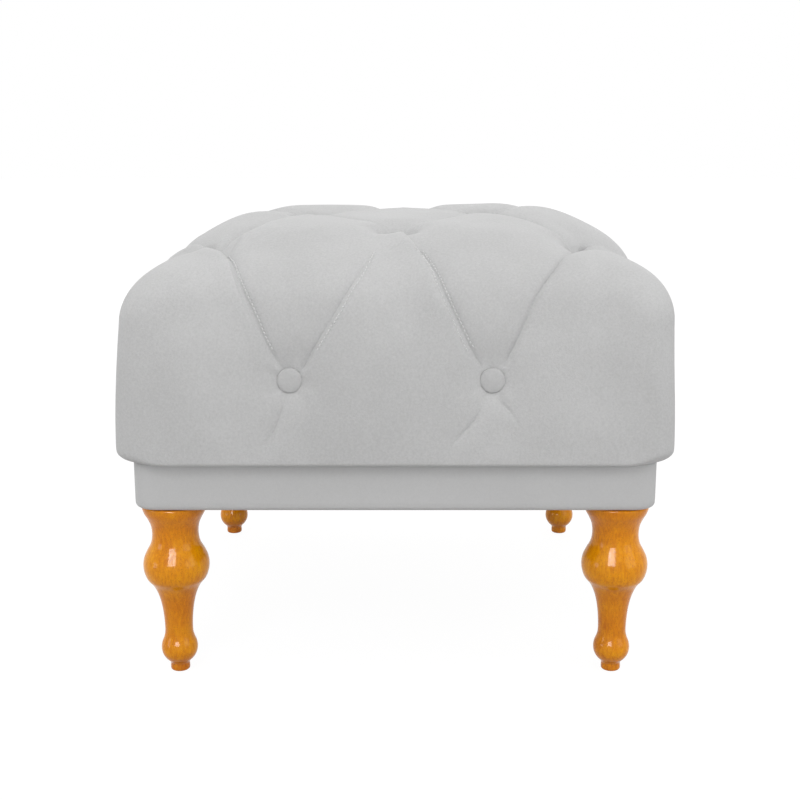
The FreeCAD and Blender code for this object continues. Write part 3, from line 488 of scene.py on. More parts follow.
# %% Mesh helpers
def mesh_object(name, places, faces):
    """A smooth shaded object made from places and faces."""
    mesh = bpy.data.meshes.new(name)
    mesh.from_pydata([tuple(p) for p in places], [], faces)
    mesh.update()
    mesh.polygons.foreach_set("use_smooth", [True] * len(mesh.polygons))
    return add_object(name, mesh)


def read_vectors(mesh, what):
    """The places ("co") or normals ("normal") of a mesh's points."""
    flat = np.zeros(len(mesh.vertices) * 3)
    mesh.vertices.foreach_get(what, flat)
    return flat.reshape(-1, 3)


block = mesh_object("block", block_places, block_faces)
block_normals = read_vectors(block.data, "normal")
print("block:", len(block.data.polygons), "faces")

# %% [markdown]
# ## The cushion, step 2: buttons and pleats
# Each button is tied down through the foam, and a pleat of folded cloth runs from
# button to button. Those lines make the diamonds. Each line is laid on the smooth block
# by dropping its points on the nearest face, so it climbs the side and turns over the
# shoulder by itself.

# %% Where the buttons sit
block_tree = BVHTree.FromPolygons([Vector(p) for p in block_places], block_faces)
above = Vector((0, 0, 1))
# a button's box runs from the end of its 3.5 mm shank to the top of its 7.5 mm dome, with the seat between
seat_to_middle = 2 * mm
# from a place this far over a seat, the nearest part of the block is where the button sits
over_seat = 30 * mm


def on_block(point):
    return block_tree.find_nearest(Vector(point))[0]


button_seats, button_spots = {}, {}
for name in frame["nodes"]:
    if name.startswith("button_"):
        low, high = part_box(name)
        centre = (low + high) / 2
        out = above
        if not name.startswith("button_top"):
            side, front = math.copysign(1, centre.x), math.copysign(1, centre.y)
            out = Vector((0, front, 0) if abs(centre.y) > abs(centre.x) else (side, 0, 0))
        seat = centre - out * seat_to_middle
        button_seats[name[7:]] = (seat, out)
        button_spots[name[7:]] = np.array(on_block(seat + out * over_seat))
print("buttons:", {n: [round(v, 4) for v in s] for n, (s, _) in button_seats.items()})


# %% Guide points of the pleats
def seen_at(u, v):
    """The place on the smooth block that the camera sees at a pixel of the photograph."""
    half = photo_side / 2
    across, upwards = [p / photo_side * film_side for p in (u - half, half - v)]
    ray = Vector((across, upwards, -camera.data.lens))
    ray.rotate(camera.rotation_euler)
    return block_tree.ray_cast(camera.location, ray.normalized())[0]


# the four front pleats, read off at a few places from the button up to the shoulder
front_pleats = {
    ("front_left", "top_front_left"): [(280, 369), (263, 338), (247, 300), (238, 276), (229, 256)],
    ("front_left", "top_front_middle"): [(304, 367), (322, 334), (340, 304), (358, 274), (370, 253)],
    ("front_right", "top_front_middle"): [(481, 367), (461, 330), (447, 297), (436, 273), (424, 255)],
    ("front_right", "top_front_right"): [(506, 366), (520, 334), (534, 303), (548, 275), (561, 257)],
}
# the same climb for the other sides: share of the way along the side, then level and inset in mm
climb_outer = [(0.12, 88, 0), (0.25, 111, 0), (0.41, 148, 8), (0.53, 172, 37), (0.67, 183, 60)]
climb_inner = [(0.13, 91, 0), (0.30, 119, 0), (0.47, 147, 8), (0.63, 170, 30), (0.78, 185, 62)]
# how far the front pleats of the top sag to the front, by the side that they run to
front_sag = {"left": 2 * mm, "right": 5 * mm}


def guides(start_name, end_name):
    """Guide points of one pleat, on or near the smooth block."""
    (start, out), (end, _) = button_seats[start_name], button_seats[end_name]
    lift = above * over_seat
    finish = on_block(end + lift)
    if out == above:
        sag = front_sag[end_name.split("_")[-1]] if "front" in start_name else 0
        return [on_block(start + lift), on_block((start + end) / 2 + lift - Vector((0, sag, 0))), finish]
    if (start_name, end_name) in front_pleats:
        return [seen_at(u, v) for u, v in front_pleats[start_name, end_name]] + [finish]
    along = Vector((abs(out.y), abs(out.x), 0))
    reach = (end - start).dot(along)
    points = []
    for share, level, inset in climb_inner if end_name.endswith("middle") else climb_outer:
        place = along * (start.dot(along) + reach * share) + out * (half_side - inset * mm)
        points.append(on_block((place.x, place.y, cushion_floor + level * mm)))
    return points + [finish]


# %% The pleat lines
sway, sway_length = 0.6 * mm, 11 * mm


def pleat_line(start_name, end_name, steps=48):
    """A smooth line through the guides, with a slight sway, laid on the block."""
    points = np.array([tuple(p) for p in guides(start_name, end_name)])
    run = run_along(points)
    at = np.linspace(0, run[-1], steps + 1)
    line = np.stack([smooth_through(at, run, points[:, k]) for k in range(3)], 1)
    line[:, 0] += sway * np.sin(at / sway_length + len(start_name)) * np.sin(math.pi * at / run[-1])
    return np.array([tuple(on_block(p)) for p in line])


pleat_ends = []
for row in ("front", "back"):
    for end, side in (("left", "left"), ("middle", "left"), ("middle", "right"), ("right", "right")):
        pleat_ends.append(("top_%s_%s" % (row, end), "top_middle_" + side))
for row in ("front", "back"):
    for side, end in (("left", "left"), ("left", "middle"), ("right", "middle"), ("right", "right")):
        pleat_ends.append(("%s_%s" % (row, side), "top_%s_%s" % (row, end)))
for side in ("left", "right"):
    for row in ("front", "back"):
        pleat_ends.append(("side_" + side, "top_%s_%s" % (row, side)))
pleats = [(a, b, pleat_line(a, b)) for a, b in pleat_ends]
print("pleats:", len(pleats), "longest %.0f mm" % (max(run_along(line)[-1] for _, _, line in pleats) / mm))

# %% [markdown]
# ## The cushion, step 3: how deep the cloth is drawn in
# Between two pleats the foam swells in a round pillow, and the pillow rolls down into
# the pleat. The depth at any place follows from the distance to the nearest pleat: a
# round flank, level at its top and steep at the fold. Round each button the same flank
# makes a pit. A soft maximum joins them without a hard ridge.

# %% Distance to a pleat
# a point deep inside, from which every pleat is seen from within
cushion_heart = np.array([0, 0, cushion_floor + 50 * mm])


def around(places, line, reach):
    """True for the places in the box round a line, grown by a reach."""
    return np.all((places > line.min(0) - reach) & (places < line.max(0) + reach), axis=1)


def near_line(places, line):
    """For each place: distance to the line, share of the way along it, and the side it lies on."""
    best = np.full(len(places), 1e9)
    share, hand = np.zeros(len(places)), np.zeros(len(places))
    run = run_along(line)
    up = line[:-1] - cushion_heart
    for k in range(len(line) - 1):
        ab = line[k + 1] - line[k]
        t = np.clip(((places - line[k]) @ ab) / max(ab @ ab, 1e-12), 0, 1)
        off = places - (line[k] + t[:, None] * ab)
        d = np.linalg.norm(off, axis=1)
        closer = d < best
        best = np.where(closer, d, best)
        share = np.where(closer, (run[k] + t * (run[k + 1] - run[k])) / run[-1], share)
        hand = np.where(closer, np.sign(off @ np.cross(ab, up[k])), hand)
    return best, share, hand, run[-1]


def near_part(places, line, reach):
    """Which places lie near a line, and what near_line says of those."""
    inside = around(places, line, reach)
    return (inside, *near_line(places[inside], line))


# the outer side of a pleat that leaves a side button is the side away from its twin, so the
# side is tested at a place over the button, between the two
clear_of_face, over_button = 20 * mm, 50 * mm
outer_hand = {}
for a, b, line in pleats:
    if not a.startswith("top"):
        seat, out = button_seats[a]
        between = np.array([tuple(on_block(seat + out * clear_of_face + above * over_button))])
        outer_hand[a, b] = -near_line(between, line)[2][0]
print("pleats with an outer side:", len(outer_hand))

# %% Depth, width and softness of a pleat
# depths on the front and back of the top, up the sides, and up the front and back
top_front_depth, top_back_depth, side_depth, face_depth = 7.3 * mm, 8 * mm, 7 * mm, 4.5 * mm
# how much deeper a pleat gets where it meets a pit of the top, and as it turns over the shoulder
pit_pull, side_pull, face_pull = 14 * mm, 10 * mm, 8 * mm
# how far a flank reaches, and less so on the outer side
pleat_reach, top_reach, side_outer_reach, face_outer_reach = 52 * mm, 44 * mm, 30 * mm, 26 * mm
fold_round = 1.1 * mm
# this one fades out below the shoulder and has no stitches
smooth_pleat = ("front_right", "top_front_right")


def flank(distance, width, soft=0.0):
    """1 at the fold, 0 at the pillow's top, along a quarter of a circle, or along a softer bend."""
    s = np.clip(1 - distance / width, 0, 1)
    return (1 - soft) * (1 - np.sqrt(np.clip(1 - s * s, 0, 1))) + soft * s * s


def pleat_depth(a, b, share, length):
    """How deep one pleat is drawn in along its way."""
    to_start, to_end = share * length, (1 - share) * length
    at_end = pit_pull * hump(to_end, (15 if "top_middle" in b else 22) * mm)
    if a.startswith("top"):
        reach = (55 if a.endswith("front_left") else 20) * mm
        depth = (top_front_depth if "front" in a else top_back_depth) + pit_pull * hump(to_start, reach)
        if "front_middle" in a:
            less = (4.3 if b.endswith("right") else 5.3) * mm
            depth = depth - less * (1 - ease((share - 0.75) / 0.2))
        return depth + at_end
    if a.startswith("side"):
        return side_depth + side_pull * ease((share - 0.2) / 0.35) + at_end
    depth = face_depth + 4 * mm * np.clip((share - 0.6) / 0.3, 0, 1) + 3 * mm * hump(to_start, 25 * mm)
    if b.endswith("front_middle"):
        fade, begin = (0.92, 0.42) if a == "front_left" else (0.7, 0.5)
        return depth * (1 - fade * ease((share - begin) / 0.25))
    begin = 0.74 if (a, b) == smooth_pleat else 0.66
    return depth + face_pull * ease((share - begin) / 0.25) + at_end


def pleat_width(a, b, hand):
    """How far the flank of a pleat reaches, less on its outer side."""
    if a.startswith("top"):
        return top_reach
    outer_reach = side_outer_reach if a.startswith("side") else face_outer_reach
    return np.where(hand == outer_hand[a, b], outer_reach, pleat_reach)


def pleat_softness(a, b, share):
    """How much of the flank is the softer bend."""
    if a.startswith("top"):
        return 0.6
    return 0.7 * ease((share - 0.55) / 0.25) if (a, b) == smooth_pleat else 0.0


depths = [pleat_depth(a, b, 0.5, run_along(line)[-1]) for a, b, line in pleats]
print("pleats half way: %.1f to %.1f mm deep" % (min(depths) / mm, max(depths) / mm))


# %% Pits under the buttons, and the whole draw
# a pit's depth, radius of its flat floor, reach of its flank, and softness of that flank
top_pit = (31 * mm, 8 * mm, 42 * mm, 0.0)
side_pit = (13.5 * mm, 9 * mm, 38 * mm, 0.3)
# the front and back lean in, so their buttons need a shallower pit to sit flush
face_pit = (9 * mm, 9 * mm, 38 * mm, 0.3)
# some pits of the top are narrower, by these shares
pit_share = {"top_middle_left": 0.7, "top_middle_right": 0.7, "top_front_middle": 0.88}
# and these have a steeper front side, where the photograph shows no hole
steep_in_front = ("top_front_middle", "top_front_right")
hollow_depth, hollow_over_button = 4 * mm, 22 * mm
hollow_across, hollow_up, hollow_through = 17 * mm, 26 * mm, 50 * mm


def pit_depth(places, name):
    """How deep the cloth is drawn in round one button."""
    seat, out = button_seats[name]
    d = np.linalg.norm(places - button_spots[name], axis=1)
    if name in steep_in_front:
        d = d * (1 + 0.25 * ease((seat.y - places[:, 1]) / (25 * mm)))
    deep, floor_radius, wide, soft = top_pit if out == above else face_pit if abs(out.y) > 0.5 else side_pit
    return deep * flank(np.maximum(d - floor_radius, 0), wide * pit_share.get(name, 1), soft)


def hollow(places, name):
    """Between its two pleats the cloth over a side button is a shallow hollow."""
    seat, out = button_seats[name]
    off = places - np.array(on_block(seat + out * over_seat + above * hollow_over_button))
    across, outwards = off @ np.array(out.cross(above)), off @ np.array(out)
    wide = hump(across, hollow_across) * hump(off[:, 2], hollow_up) * hump(outwards, hollow_through)
    return hollow_depth * wide


def drawn_in(places):
    """How far the cloth is drawn in at places on the smooth block."""
    power = 5.0
    total = np.zeros(len(places))
    for a, b, line in pleats:
        inside, d, share, hand, length = near_part(places, line, pleat_reach)
        bend = flank(np.hypot(d, fold_round), pleat_width(a, b, hand), pleat_softness(a, b, share))
        total[inside] += (pleat_depth(a, b, share, length) * bend) ** power
    total += sum(pit_depth(places, name) ** power for name in button_seats)
    side_buttons = [name for name, (_, out) in button_seats.items() if out != above]
    return total ** (1 / power) + sum(hollow(places, name) for name in side_buttons)


depth = drawn_in(block_places)
print("deepest draw: %.1f mm" % (depth.max() / mm))

# %% Places where the cloth starts
nearest_pleat = np.min([near_line(block_places, line)[0] for _, _, line in pleats], axis=0)
from_buttons = [np.linalg.norm(block_places - spot, axis=1) for spot in button_spots.values()]
nearest_button = np.min(from_buttons, axis=0)
height = block_places[:, 2] - cushion_floor
# the cloth will swell, so it starts a little smaller wherever nothing holds it
button_hold, most_slack, slack_reach = 12 * mm, 2.5 * mm, 35 * mm
to_hold = np.minimum(np.minimum(nearest_pleat, nearest_button - button_hold), height)
slack = most_slack * np.clip(to_hold / slack_reach, 0, 1)
formed_places = block_places - block_normals * (depth + slack)[:, None]
print("furthest from any pleat: %.0f mm" % (nearest_pleat.max() / mm))

# %% [markdown]
# ## The cushion, step 4: cloth under pressure
# Foam presses the cover out between the lines where it is held. The cloth simulation
# does the same: the pleats, the buttons and the hem are pinned, and a light pressure
# fills the pillows. The cloth starts a little too large, as a real cover is, so it
# buckles by itself next to the pins. Only the movement is kept, and it is capped.

# %% Simulate the cloth
pleat_hold, hem_hold = 3.2 * mm, 3 * mm
cloth_settings = {
    "quality": 5, "mass": 0.25, "tension_stiffness": 12, "compression_stiffness": 12, "shear_stiffness": 6,
    "bending_stiffness": 0.4, "shrink_min": -0.02, "vertex_group_mass": "held", "use_pressure": True,
    "uniform_pressure_force": 3,
}


def swollen(places):
    """The places after twenty frames of cloth held at the pleats, the buttons and the hem."""
    cover = mesh_object("cover", places, block_faces)
    held = cover.vertex_groups.new(name="held")
    firm = (nearest_pleat < pleat_hold) | (nearest_button < button_hold) | (height < hem_hold)
    held.add([int(i) for i in np.nonzero(firm)[0]], 1.0, "REPLACE")
    cloth = cover.modifiers.new("cloth", "CLOTH")
    for key, value in cloth_settings.items():
        setattr(cloth.settings, key, value)
    cloth.settings.effector_weights.gravity = 0
    cloth.collision_settings.use_collision = False
    cloth.collision_settings.use_self_collision = False
    for frame_number in range(1, 21):
        bpy.context.scene.frame_set(frame_number)
    grown = cover.evaluated_get(bpy.context.evaluated_depsgraph_get()).to_mesh()
    after = read_vectors(grown, "co")
    bpy.data.objects.remove(cover)
    bpy.context.scene.frame_set(1)
    return after


# %% Keep the movement, capped and evened out
cap = 3.5 * mm


def evened(move, passes):
    """Movement mixed with that of its neighbours, away from the buttons."""
    edge = np.array([(f[k], f[(k + 1) % 4]) for f in block_faces for k in range(4)])
    count = np.bincount(edge[:, 0], minlength=len(move))[:, None]
    mix = 0.8 * ease((nearest_button - 14 * mm) / (40 * mm))[:, None]
    for _ in range(passes):
        beside = np.zeros_like(move)
        np.add.at(beside, edge[:, 0], move[edge[:, 1]])
        move = move * (1 - mix) + mix * beside / np.maximum(count, 1)
    return move


drift = np.zeros_like(block_places)
drift = swollen(formed_places) - formed_places
far = np.linalg.norm(drift, axis=1)
print("cloth moved: mean %.2f mm, most %.2f mm" % (far.mean() / mm, far.max() / mm))
drift *= (cap * np.tanh(far / cap) / np.maximum(far, 1e-9))[:, None]
drift = evened(drift - block_normals * slack[:, None], passes=12)
# the hem, the corners and the places round the buttons stay quiet
both_out = np.minimum(np.abs(block_places[:, 0]), np.abs(block_places[:, 1])) / half_side
quiet = 0.3 + 0.7 * ease((nearest_button - 14 * mm) / (34 * mm))
quiet *= (1 - 0.85 * ease((both_out - 0.7) / 0.2)) * ease(height / (35 * mm))
drift *= quiet[:, None]
print("movement kept: up to %.2f mm" % (np.linalg.norm(drift, axis=1).max() / mm))

# %% [markdown]
# ## The cushion, step 5: a finer mesh with sharp folds
# A fold of cloth is only a few millimetres wide, finer than the mesh that was
# simulated. So the block is divided once all over and twice more along the pleats, the
# simulated movement is carried over, and the draw is worked out again at each new point.

# %% Divide the mesh, most along the pleats
# faint creases below the two front buttons and beside the front middle tuft: pixels, and depth in mm
crease_marks = [
    ([(285, 400), (278, 421), (269, 438), (258, 450)], 0.6),
    ([(483, 410), (466, 430), (451, 446)], 0.8),
    ([(494, 397), (511, 412), (522, 431)], 0.7),
    ([(384, 253), (397, 249), (411, 245)], 0.5),
]


def line_seen(pixels):
    return np.array([tuple(seen_at(u, v)) for u, v in pixels])


def subdivided(places):
    """The block with these places, divided once all over."""
    obj = mesh_object("twin", places, block_faces)
    obj.modifiers.new("sub", "SUBSURF").levels = 1
    mesh = bpy.data.meshes.new_from_object(obj.evaluated_get(bpy.context.evaluated_depsgraph_get()))
    bpy.data.objects.remove(obj)
    return mesh


creases = [(line_seen(pixels), deep * mm) for pixels, deep in crease_marks]
fine = subdivided(block_places)
fine_drift = read_vectors(subdivided(block_places + drift), "co") - read_vectors(fine, "co")
work = bmesh.new()
work.from_mesh(fine)
moved = work.verts.layers.float_vector.new("moved")
work.verts.ensure_lookup_table()
for vert, move in zip(work.verts, fine_drift):
    vert[moved] = Vector(move)

for reach in (11 * mm, 5 * mm):
    work.verts.ensure_lookup_table()
    here = np.array([v.co for v in work.verts])
    close = np.zeros(len(here), bool)
    for line in [line for _, _, line in pleats] + [line for line, _ in creases]:
        inside, d, _, _, _ = near_part(here, line, 20 * mm)
        close[inside] |= d < reach
    edges = [e for e in work.edges if close[e.verts[0].index] and close[e.verts[1].index]]
    bmesh.ops.subdivide_edges(work, edges=edges, cuts=1, use_grid_fill=True)
    work.verts.index_update()
print("fine mesh:", len(work.verts), "points")

# %% [markdown]
# ## The cushion, step 6: folds, stitches and gathers
# At each pleat the cloth is folded: a narrow cleft, with a roll of cloth along its outer
# side. Small dents follow the stitches, gathers stand round each button, and a few soft
# wrinkles run where the photograph shows them. Each of these is a small height over the
# cloth, a formula of the distance to its line, added at every point of the fine mesh.

# %% The cleft, the roll and the stitch dents of one pleat
stitch_gap = 3.9 * mm
stitch_off = {-1: 2.6 * mm, 1: 3.6 * mm}
dent_depth, dent_width = 0.9 * mm, 1.3 * mm
cleft_depth, cleft_width = 0.9 * mm, 1.6 * mm
# the roll's crest lies this far from the fold; it is fullest on the pleats that lean left
roll_crest = 4.4 * mm
top_roll, left_roll, low_roll = 0.4 * mm, 4.6 * mm, 1.0 * mm
# a row of stitches holds each pleat of the sides, on one hand of the fold or on both
stitched = {(a, b): (-1, 1) for a, b, _ in pleats if not a.startswith("top") and (a, b) != smooth_pleat}
stitched["front_left", "top_front_left"] = (-1,)
stitched["front_left", "top_front_middle"] = (1,)


def cleft_and_roll(a, b, d, share, hand, length):
    """Height of the fold itself: a cleft at the line, and a roll on its outer side."""
    on_top = a.startswith("top")
    cleft = -cleft_depth * np.exp(-d / cleft_width) * (0.75 + 0.25 * np.sin(share * length / (9 * mm)))
    if on_top:
        cleft = cleft * 0.5
    if "front_middle" in a:
        cleft = cleft * (1 - 0.75 * (1 - ease((share - 0.2) / 0.3)))
    elif "front_middle" in b:
        cleft = cleft * (1 - 0.75 * ease((share - 0.6) / 0.2))
    elif (a, b) == smooth_pleat:
        cleft = -1.5 * mm * np.exp(-d / (2.2 * mm)) * (1 - 0.9 * ease((share - 0.55) / 0.15))
    leans_left = b.endswith("left") or (a.endswith("right") and b.endswith("middle"))
    high = top_roll if on_top else left_roll if leans_left else low_roll
    roll = hump(d - roll_crest, np.where(d < roll_crest, 2.4 * mm, 13 * mm))
    roll = np.where(hand == outer_hand.get((a, b), 1), roll, 0)
    if (a, b) == ("front_left", "top_front_middle"):
        cleft, roll = [v * (1 - ease((share - 0.5) / 0.2)) for v in (cleft, roll)]
    ends = np.clip(np.minimum(share, 1 - share) * length / (12 * mm), 0, 1)
    return cleft * ends + high * roll * ease(np.minimum(share / 0.35, (1 - share) / 0.12))


def stitch_dents(a, b, d, share, hand, length):
    """Between two stitches the cloth stands up a little, and each stitch pulls a small dent."""
    along = np.clip((share - 0.07) / 0.04, 0, 1) * np.clip((0.7 - share) / 0.05, 0, 1)
    wave = 0.5 + 0.5 * np.cos(2 * math.pi * share * length / stitch_gap)
    dents = np.zeros(len(d))
    for side in stitched.get((a, b), ()):
        beside = hump(d - stitch_off[side], dent_width)
        dents += dent_depth * np.where(hand == side * outer_hand[a, b], beside, 0)
    return dents * along * wave


print("stitched pleats:", len(stitched))

# %% Wrinkles, creases and gathers
# soft wrinkles that run down from the front buttons, and a few on the top: pixels, depth and width in mm
wrinkle_marks = [
    ([(286, 397), (279, 419), (270, 440), (262, 459)], -2.6, 11),
    ([(488, 398), (474, 422), (455, 442), (446, 457)], -2.6, 11),
    ([(495, 398), (503, 408), (513, 419)], 1.8, 9),
    ([(304, 208), (311, 212), (319, 217)], 1.8, 6),
    ([(227, 249), (234, 239), (243, 229)], 3.0, 7),
    ([(249, 243), (263, 236), (281, 229)], 2.0, 8),
]
wrinkles = [(line_seen(pixels), deep * mm, wide * mm) for pixels, deep, wide in wrinkle_marks]
crease_width = 1.6 * mm
gather_height, gather_off, gather_reach = 0.35 * mm, 15 * mm, 8 * mm


def wrinkle(deep, wide, d, share, hand):
    """One side falls off sharply, the other is a soft roll. The sign of the depth says which."""
    sharp = -np.exp(-d / (wide * 0.9))
    rolled = 0.45 * hump(d - wide, wide) - np.exp(-d / (wide * 0.5))
    ends = np.sin(math.pi * np.clip(share * 0.9 + 0.1, 0, 1))
    return abs(deep) * ends * np.where(hand * np.sign(deep) > 0, rolled, sharp)


def gathers(places, number, name):
    """Small puckers that stand like rays round one button."""
    out = button_seats[name][1]
    off = places - button_spots[name]
    d = np.linalg.norm(off, axis=1)
    side = out.cross(above) if out != above else Vector((1, 0, 0))
    angle = np.arctan2(off @ np.array(out.cross(side)), off @ np.array(side))
    wave = np.sin(7 * angle + number) + 0.7 * np.sin(11 * angle + 2.3 * number)
    return gather_height * wave * hump(d - gather_off, gather_reach)


def fold_relief(places):
    """All small forms together, as a height over the drawn cloth."""
    relief = np.zeros(len(places))
    for a, b, line in pleats:
        inside, d, share, hand, length = near_part(places, line, 30 * mm)
        relief[inside] += cleft_and_roll(a, b, d, share, hand, length)
        relief[inside] -= stitch_dents(a, b, d, share, hand, length)
    for line, deep, wide in wrinkles:
        inside, d, share, hand, _ = near_part(places, line, 30 * mm)
        relief[inside] += wrinkle(deep, wide, d, share, hand)
    for line, deep in creases:
        inside, d, share, _, _ = near_part(places, line, 10 * mm)
        relief[inside] -= deep * hump(d, crease_width) * ease(np.minimum(share, 1 - share) / 0.3)
    return relief + sum(gathers(places, number, name) for number, name in enumerate(button_seats))


print("wrinkles:", len(wrinkles), "creases:", len(creases))

# %% The finished cushion
work.normal_update()
rest_places = np.array([v.co for v in work.verts])
fine_normals = np.array([v.normal for v in work.verts])
fine_moved = np.array([v[moved] for v in work.verts])
outwards = fold_relief(rest_places) - drawn_in(rest_places)
fine_places = rest_places + fine_normals * outwards[:, None] + fine_moved
for vert, place in zip(work.verts, fine_places):
    vert.co = place
fine_mesh = bpy.data.meshes.new("cushion")
work.to_mesh(fine_mesh)
work.free()
fine_mesh.polygons.foreach_set("use_smooth", [True] * len(fine_mesh.polygons))
fine_mesh.materials.append(cushion_cloth)
cushion = add_object("cushion", fine_mesh)
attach(cushion, "root")
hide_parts("cushion_cover", "top_foam", "front_foam", "back_foam", "left_foam", "right_foam")
bpy.data.objects.remove(block)
print("cushion:", [round(v, 4) for v in fine_places.min(0)], [round(v, 4) for v in fine_places.max(0)])

# %% [markdown]
# ## Stitches along the pleats
# The folds over the shoulders are held by a row of small stitches, which the photograph
# shows as dots about four millimetres apart. Each stitch is a short capsule of thread.
# All of them make one mesh, and each lies on the finished cloth beside its fold.

# %% Thread, and the shape of one stitch
thread_finish, tree, shader = new_material("grey_thread", Roughness=0.7)
where = add_node(tree, "TexCoord").outputs["Object"]
twist = texture(tree, "Wave", where, Scale=900.0, Distortion=1.0)
feed(shader.inputs["Base Color"], ramp(tree, twist, (0.0, srgb(190, 190, 190)), (1.0, srgb(222, 222, 222))))

stitch_length, thread_radius, thread_sides = 2.9 * mm, 0.75 * mm, 6
# place along the stitch as a share of its length, and thickness as a share of the thread's
stitch_rings = [(-0.5, 0.35), (-0.32, 0.85), (0, 1), (0.32, 0.85), (0.5, 0.35)]


def capsule(centre, along, out):
    """Points of one stitch: a bowed capsule that dips into the cloth at both ends."""
    side = along.cross(out).normalized()
    places = []
    for t, size in stitch_rings:
        for k in range(thread_sides):
            a = 2 * math.pi * k / thread_sides
            up = thread_radius * (size * math.cos(a) + 0.9 - 2.6 * t * t)
            over = thread_radius * size * math.sin(a)
            places.append(centre + along * (t * stitch_length) + out * up + side * over)
    return places


stitch_points = len(stitch_rings) * thread_sides
capsule_faces = ring_quads(len(stitch_rings), thread_sides)
capsule_faces += [tuple(range(thread_sides))[::-1], tuple(range(stitch_points - thread_sides, stitch_points))]
print("one stitch: %d points, %d faces" % (stitch_points, len(capsule_faces)))

# %% Sew the stitches
finder = KDTree(len(rest_places))
for number, place in enumerate(rest_places):
    finder.insert(place, number)
finder.balance()

stitch_places, stitch_faces = [], []
for a, b, line in pleats:
    run = run_along(line)
    for s in np.arange(math.ceil(0.09 * run[-1] / stitch_gap) * stitch_gap, 0.68 * run[-1], stitch_gap):
        place, ahead = [Vector([float(np.interp(at, run, axis)) for axis in line.T]) for at in (s, s + mm)]
        along = (ahead - place).normalized()
        up = place - Vector(cushion_heart)
        for hand in stitched.get((a, b), ()):
            side = along.cross(up).normalized() * hand * outer_hand[a, b]
            spot = finder.find(place + side * stitch_off[hand])[1]
            first = len(stitch_places)
            stitch_places += capsule(Vector(fine_places[spot]), along, Vector(fine_normals[spot]))
            stitch_faces += [tuple(first + k for k in f) for f in capsule_faces]
stitches = mesh_object("pleat_stitches", stitch_places, stitch_faces)
stitches.data.materials.append(thread_finish)
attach(stitches, "root")
print("stitches:", len(stitch_places) // stitch_points)

# %% [markdown]
# ## Covered buttons
# A covered button is a small dome of metal with a circle of the same cloth drawn over
# it. The cloth is gathered behind the rim, which leaves fine puckers round the edge. A
# turned profile gives the dome; a ripple that grows towards the rim gives the gathers.

# %% Turn the buttons
button_rings, button_spokes = 14, 64
button_radius, button_dome, rim_share = 11.2 * mm, 7.3 * mm, 0.76


def button_places(seed):
    """Rings of one button from its middle outwards, then the middle itself."""
    places = []
    for r in range(button_rings):
        t = r / (button_rings - 1)
        angle = min(t * math.radians(118), math.pi / 2)
        behind = max(0, t - rim_share) / (1 - rim_share)
        up = button_dome * (0.6 + 0.4 * max(0, math.cos(angle)) ** 0.8) * (1 - behind)
        for k in range(button_spokes):
            a = 2 * math.pi * k / button_spokes
            ripple = 0.22 * mm * t**4 * (math.sin(11 * a + seed) + 0.6 * math.sin(17 * a + 2.1 * seed))
            rho = button_radius * math.sin(angle) * (1 - 0.10 * behind) + ripple
            places.append((rho * math.cos(a), rho * math.sin(a), up))
    return places + [(0, 0, button_dome)]


button_faces = ring_quads(button_rings - 1, button_spokes, first=button_spokes)
button_faces = [(a, d, c, b) for a, b, c, d in button_faces]
button_top = button_rings * button_spokes
for k in range(button_spokes):
    button_faces.append((button_top, button_spokes + k, button_spokes + (k + 1) % button_spokes))
for number, (name, (seat, out)) in enumerate(button_seats.items()):
    turn = out.to_track_quat("Z", "Y")
    places = [tuple(seat + turn @ Vector(p)) for p in button_places(1.3 * number)]
    button = mesh_object("covered_button_" + name, places, button_faces)
    button.data.materials.append(button_cloth)
    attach(button, "root")
    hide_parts("button_" + name)
print("covered buttons:", len(button_seats))

# %% [markdown]
# ## The plinth's cloth
# The plinth is a wooden frame wrapped in the same cloth, turned in over the top and
# under the bottom edge. A strip of quads follows that path round a rounded square. The
# cloth is stretched tight over wood there, so it needs no simulation.

# %% Wrap the plinth
wrap_steps = 110
# inset, level and corner radius in mm, from the edge turned in above to the edge turned in below
wrap_rows = [(30, 45, 14.5), (16, 45, 15), (4, 45, 15.6), (1, 44.6, 16), (0, 43, 16)]
wrap_rows += [(0, z, 16) for z in np.linspace(40, 9, 14)]
wrap_rows += [(6 * (1 - math.cos(a)), 6 * (1 - math.sin(a)), 16) for a in np.linspace(0, math.pi / 2, 7)[1:]]
wrap_rows += [(inset, 0, 16) for inset in (10, 16, 24, 33, 42)]
share = np.arange(4 * wrap_steps) / wrap_steps
wrap_places = []
for inset, level, corner in wrap_rows:
    x, y = square_point(share, plinth_high.x - inset * mm, corner * mm)
    wrap_places.append(np.stack([x, y, np.full(len(share), plinth_low.z + level * mm)], 1))
wrap_faces = [f[::-1] for f in ring_quads(len(wrap_rows), 4 * wrap_steps)]
wrap = mesh_object("plinth_wrap", np.concatenate(wrap_places), wrap_faces)
wrap.data.materials.append(plinth_cloth)
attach(wrap, "root")
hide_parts("plinth_cover")

# %% [markdown]
# ## The dust cloth
# Under the plinth a thin black non-woven cloth closes the frame. It is stapled along
# its edge and hangs a little between the staples. Fine rings with a shallow sag are
# enough, with the embossed dots of such cloth in its finish.

# %% Dust cloth
dust_low, dust_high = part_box("dust_cover")
dust_black, tree, shader = new_material("dust_black", Roughness=0.95)
where = add_node(tree, "TexCoord").outputs["Object"]
fibres = texture(tree, "Noise", where, Scale=500.0, Detail=4.0)
dots = texture(tree, "Voronoi", where, "Distance", Scale=420.0, Randomness=0.1)
shade = ramp(tree, fibres, (0.3, (0.018, 0.018, 0.02, 1)), (0.7, (0.05, 0.05, 0.055, 1)))
feed(shader.inputs["Base Color"], shade)
bend_shading(tree, shader, dots, 0.4, 0.4 * mm)

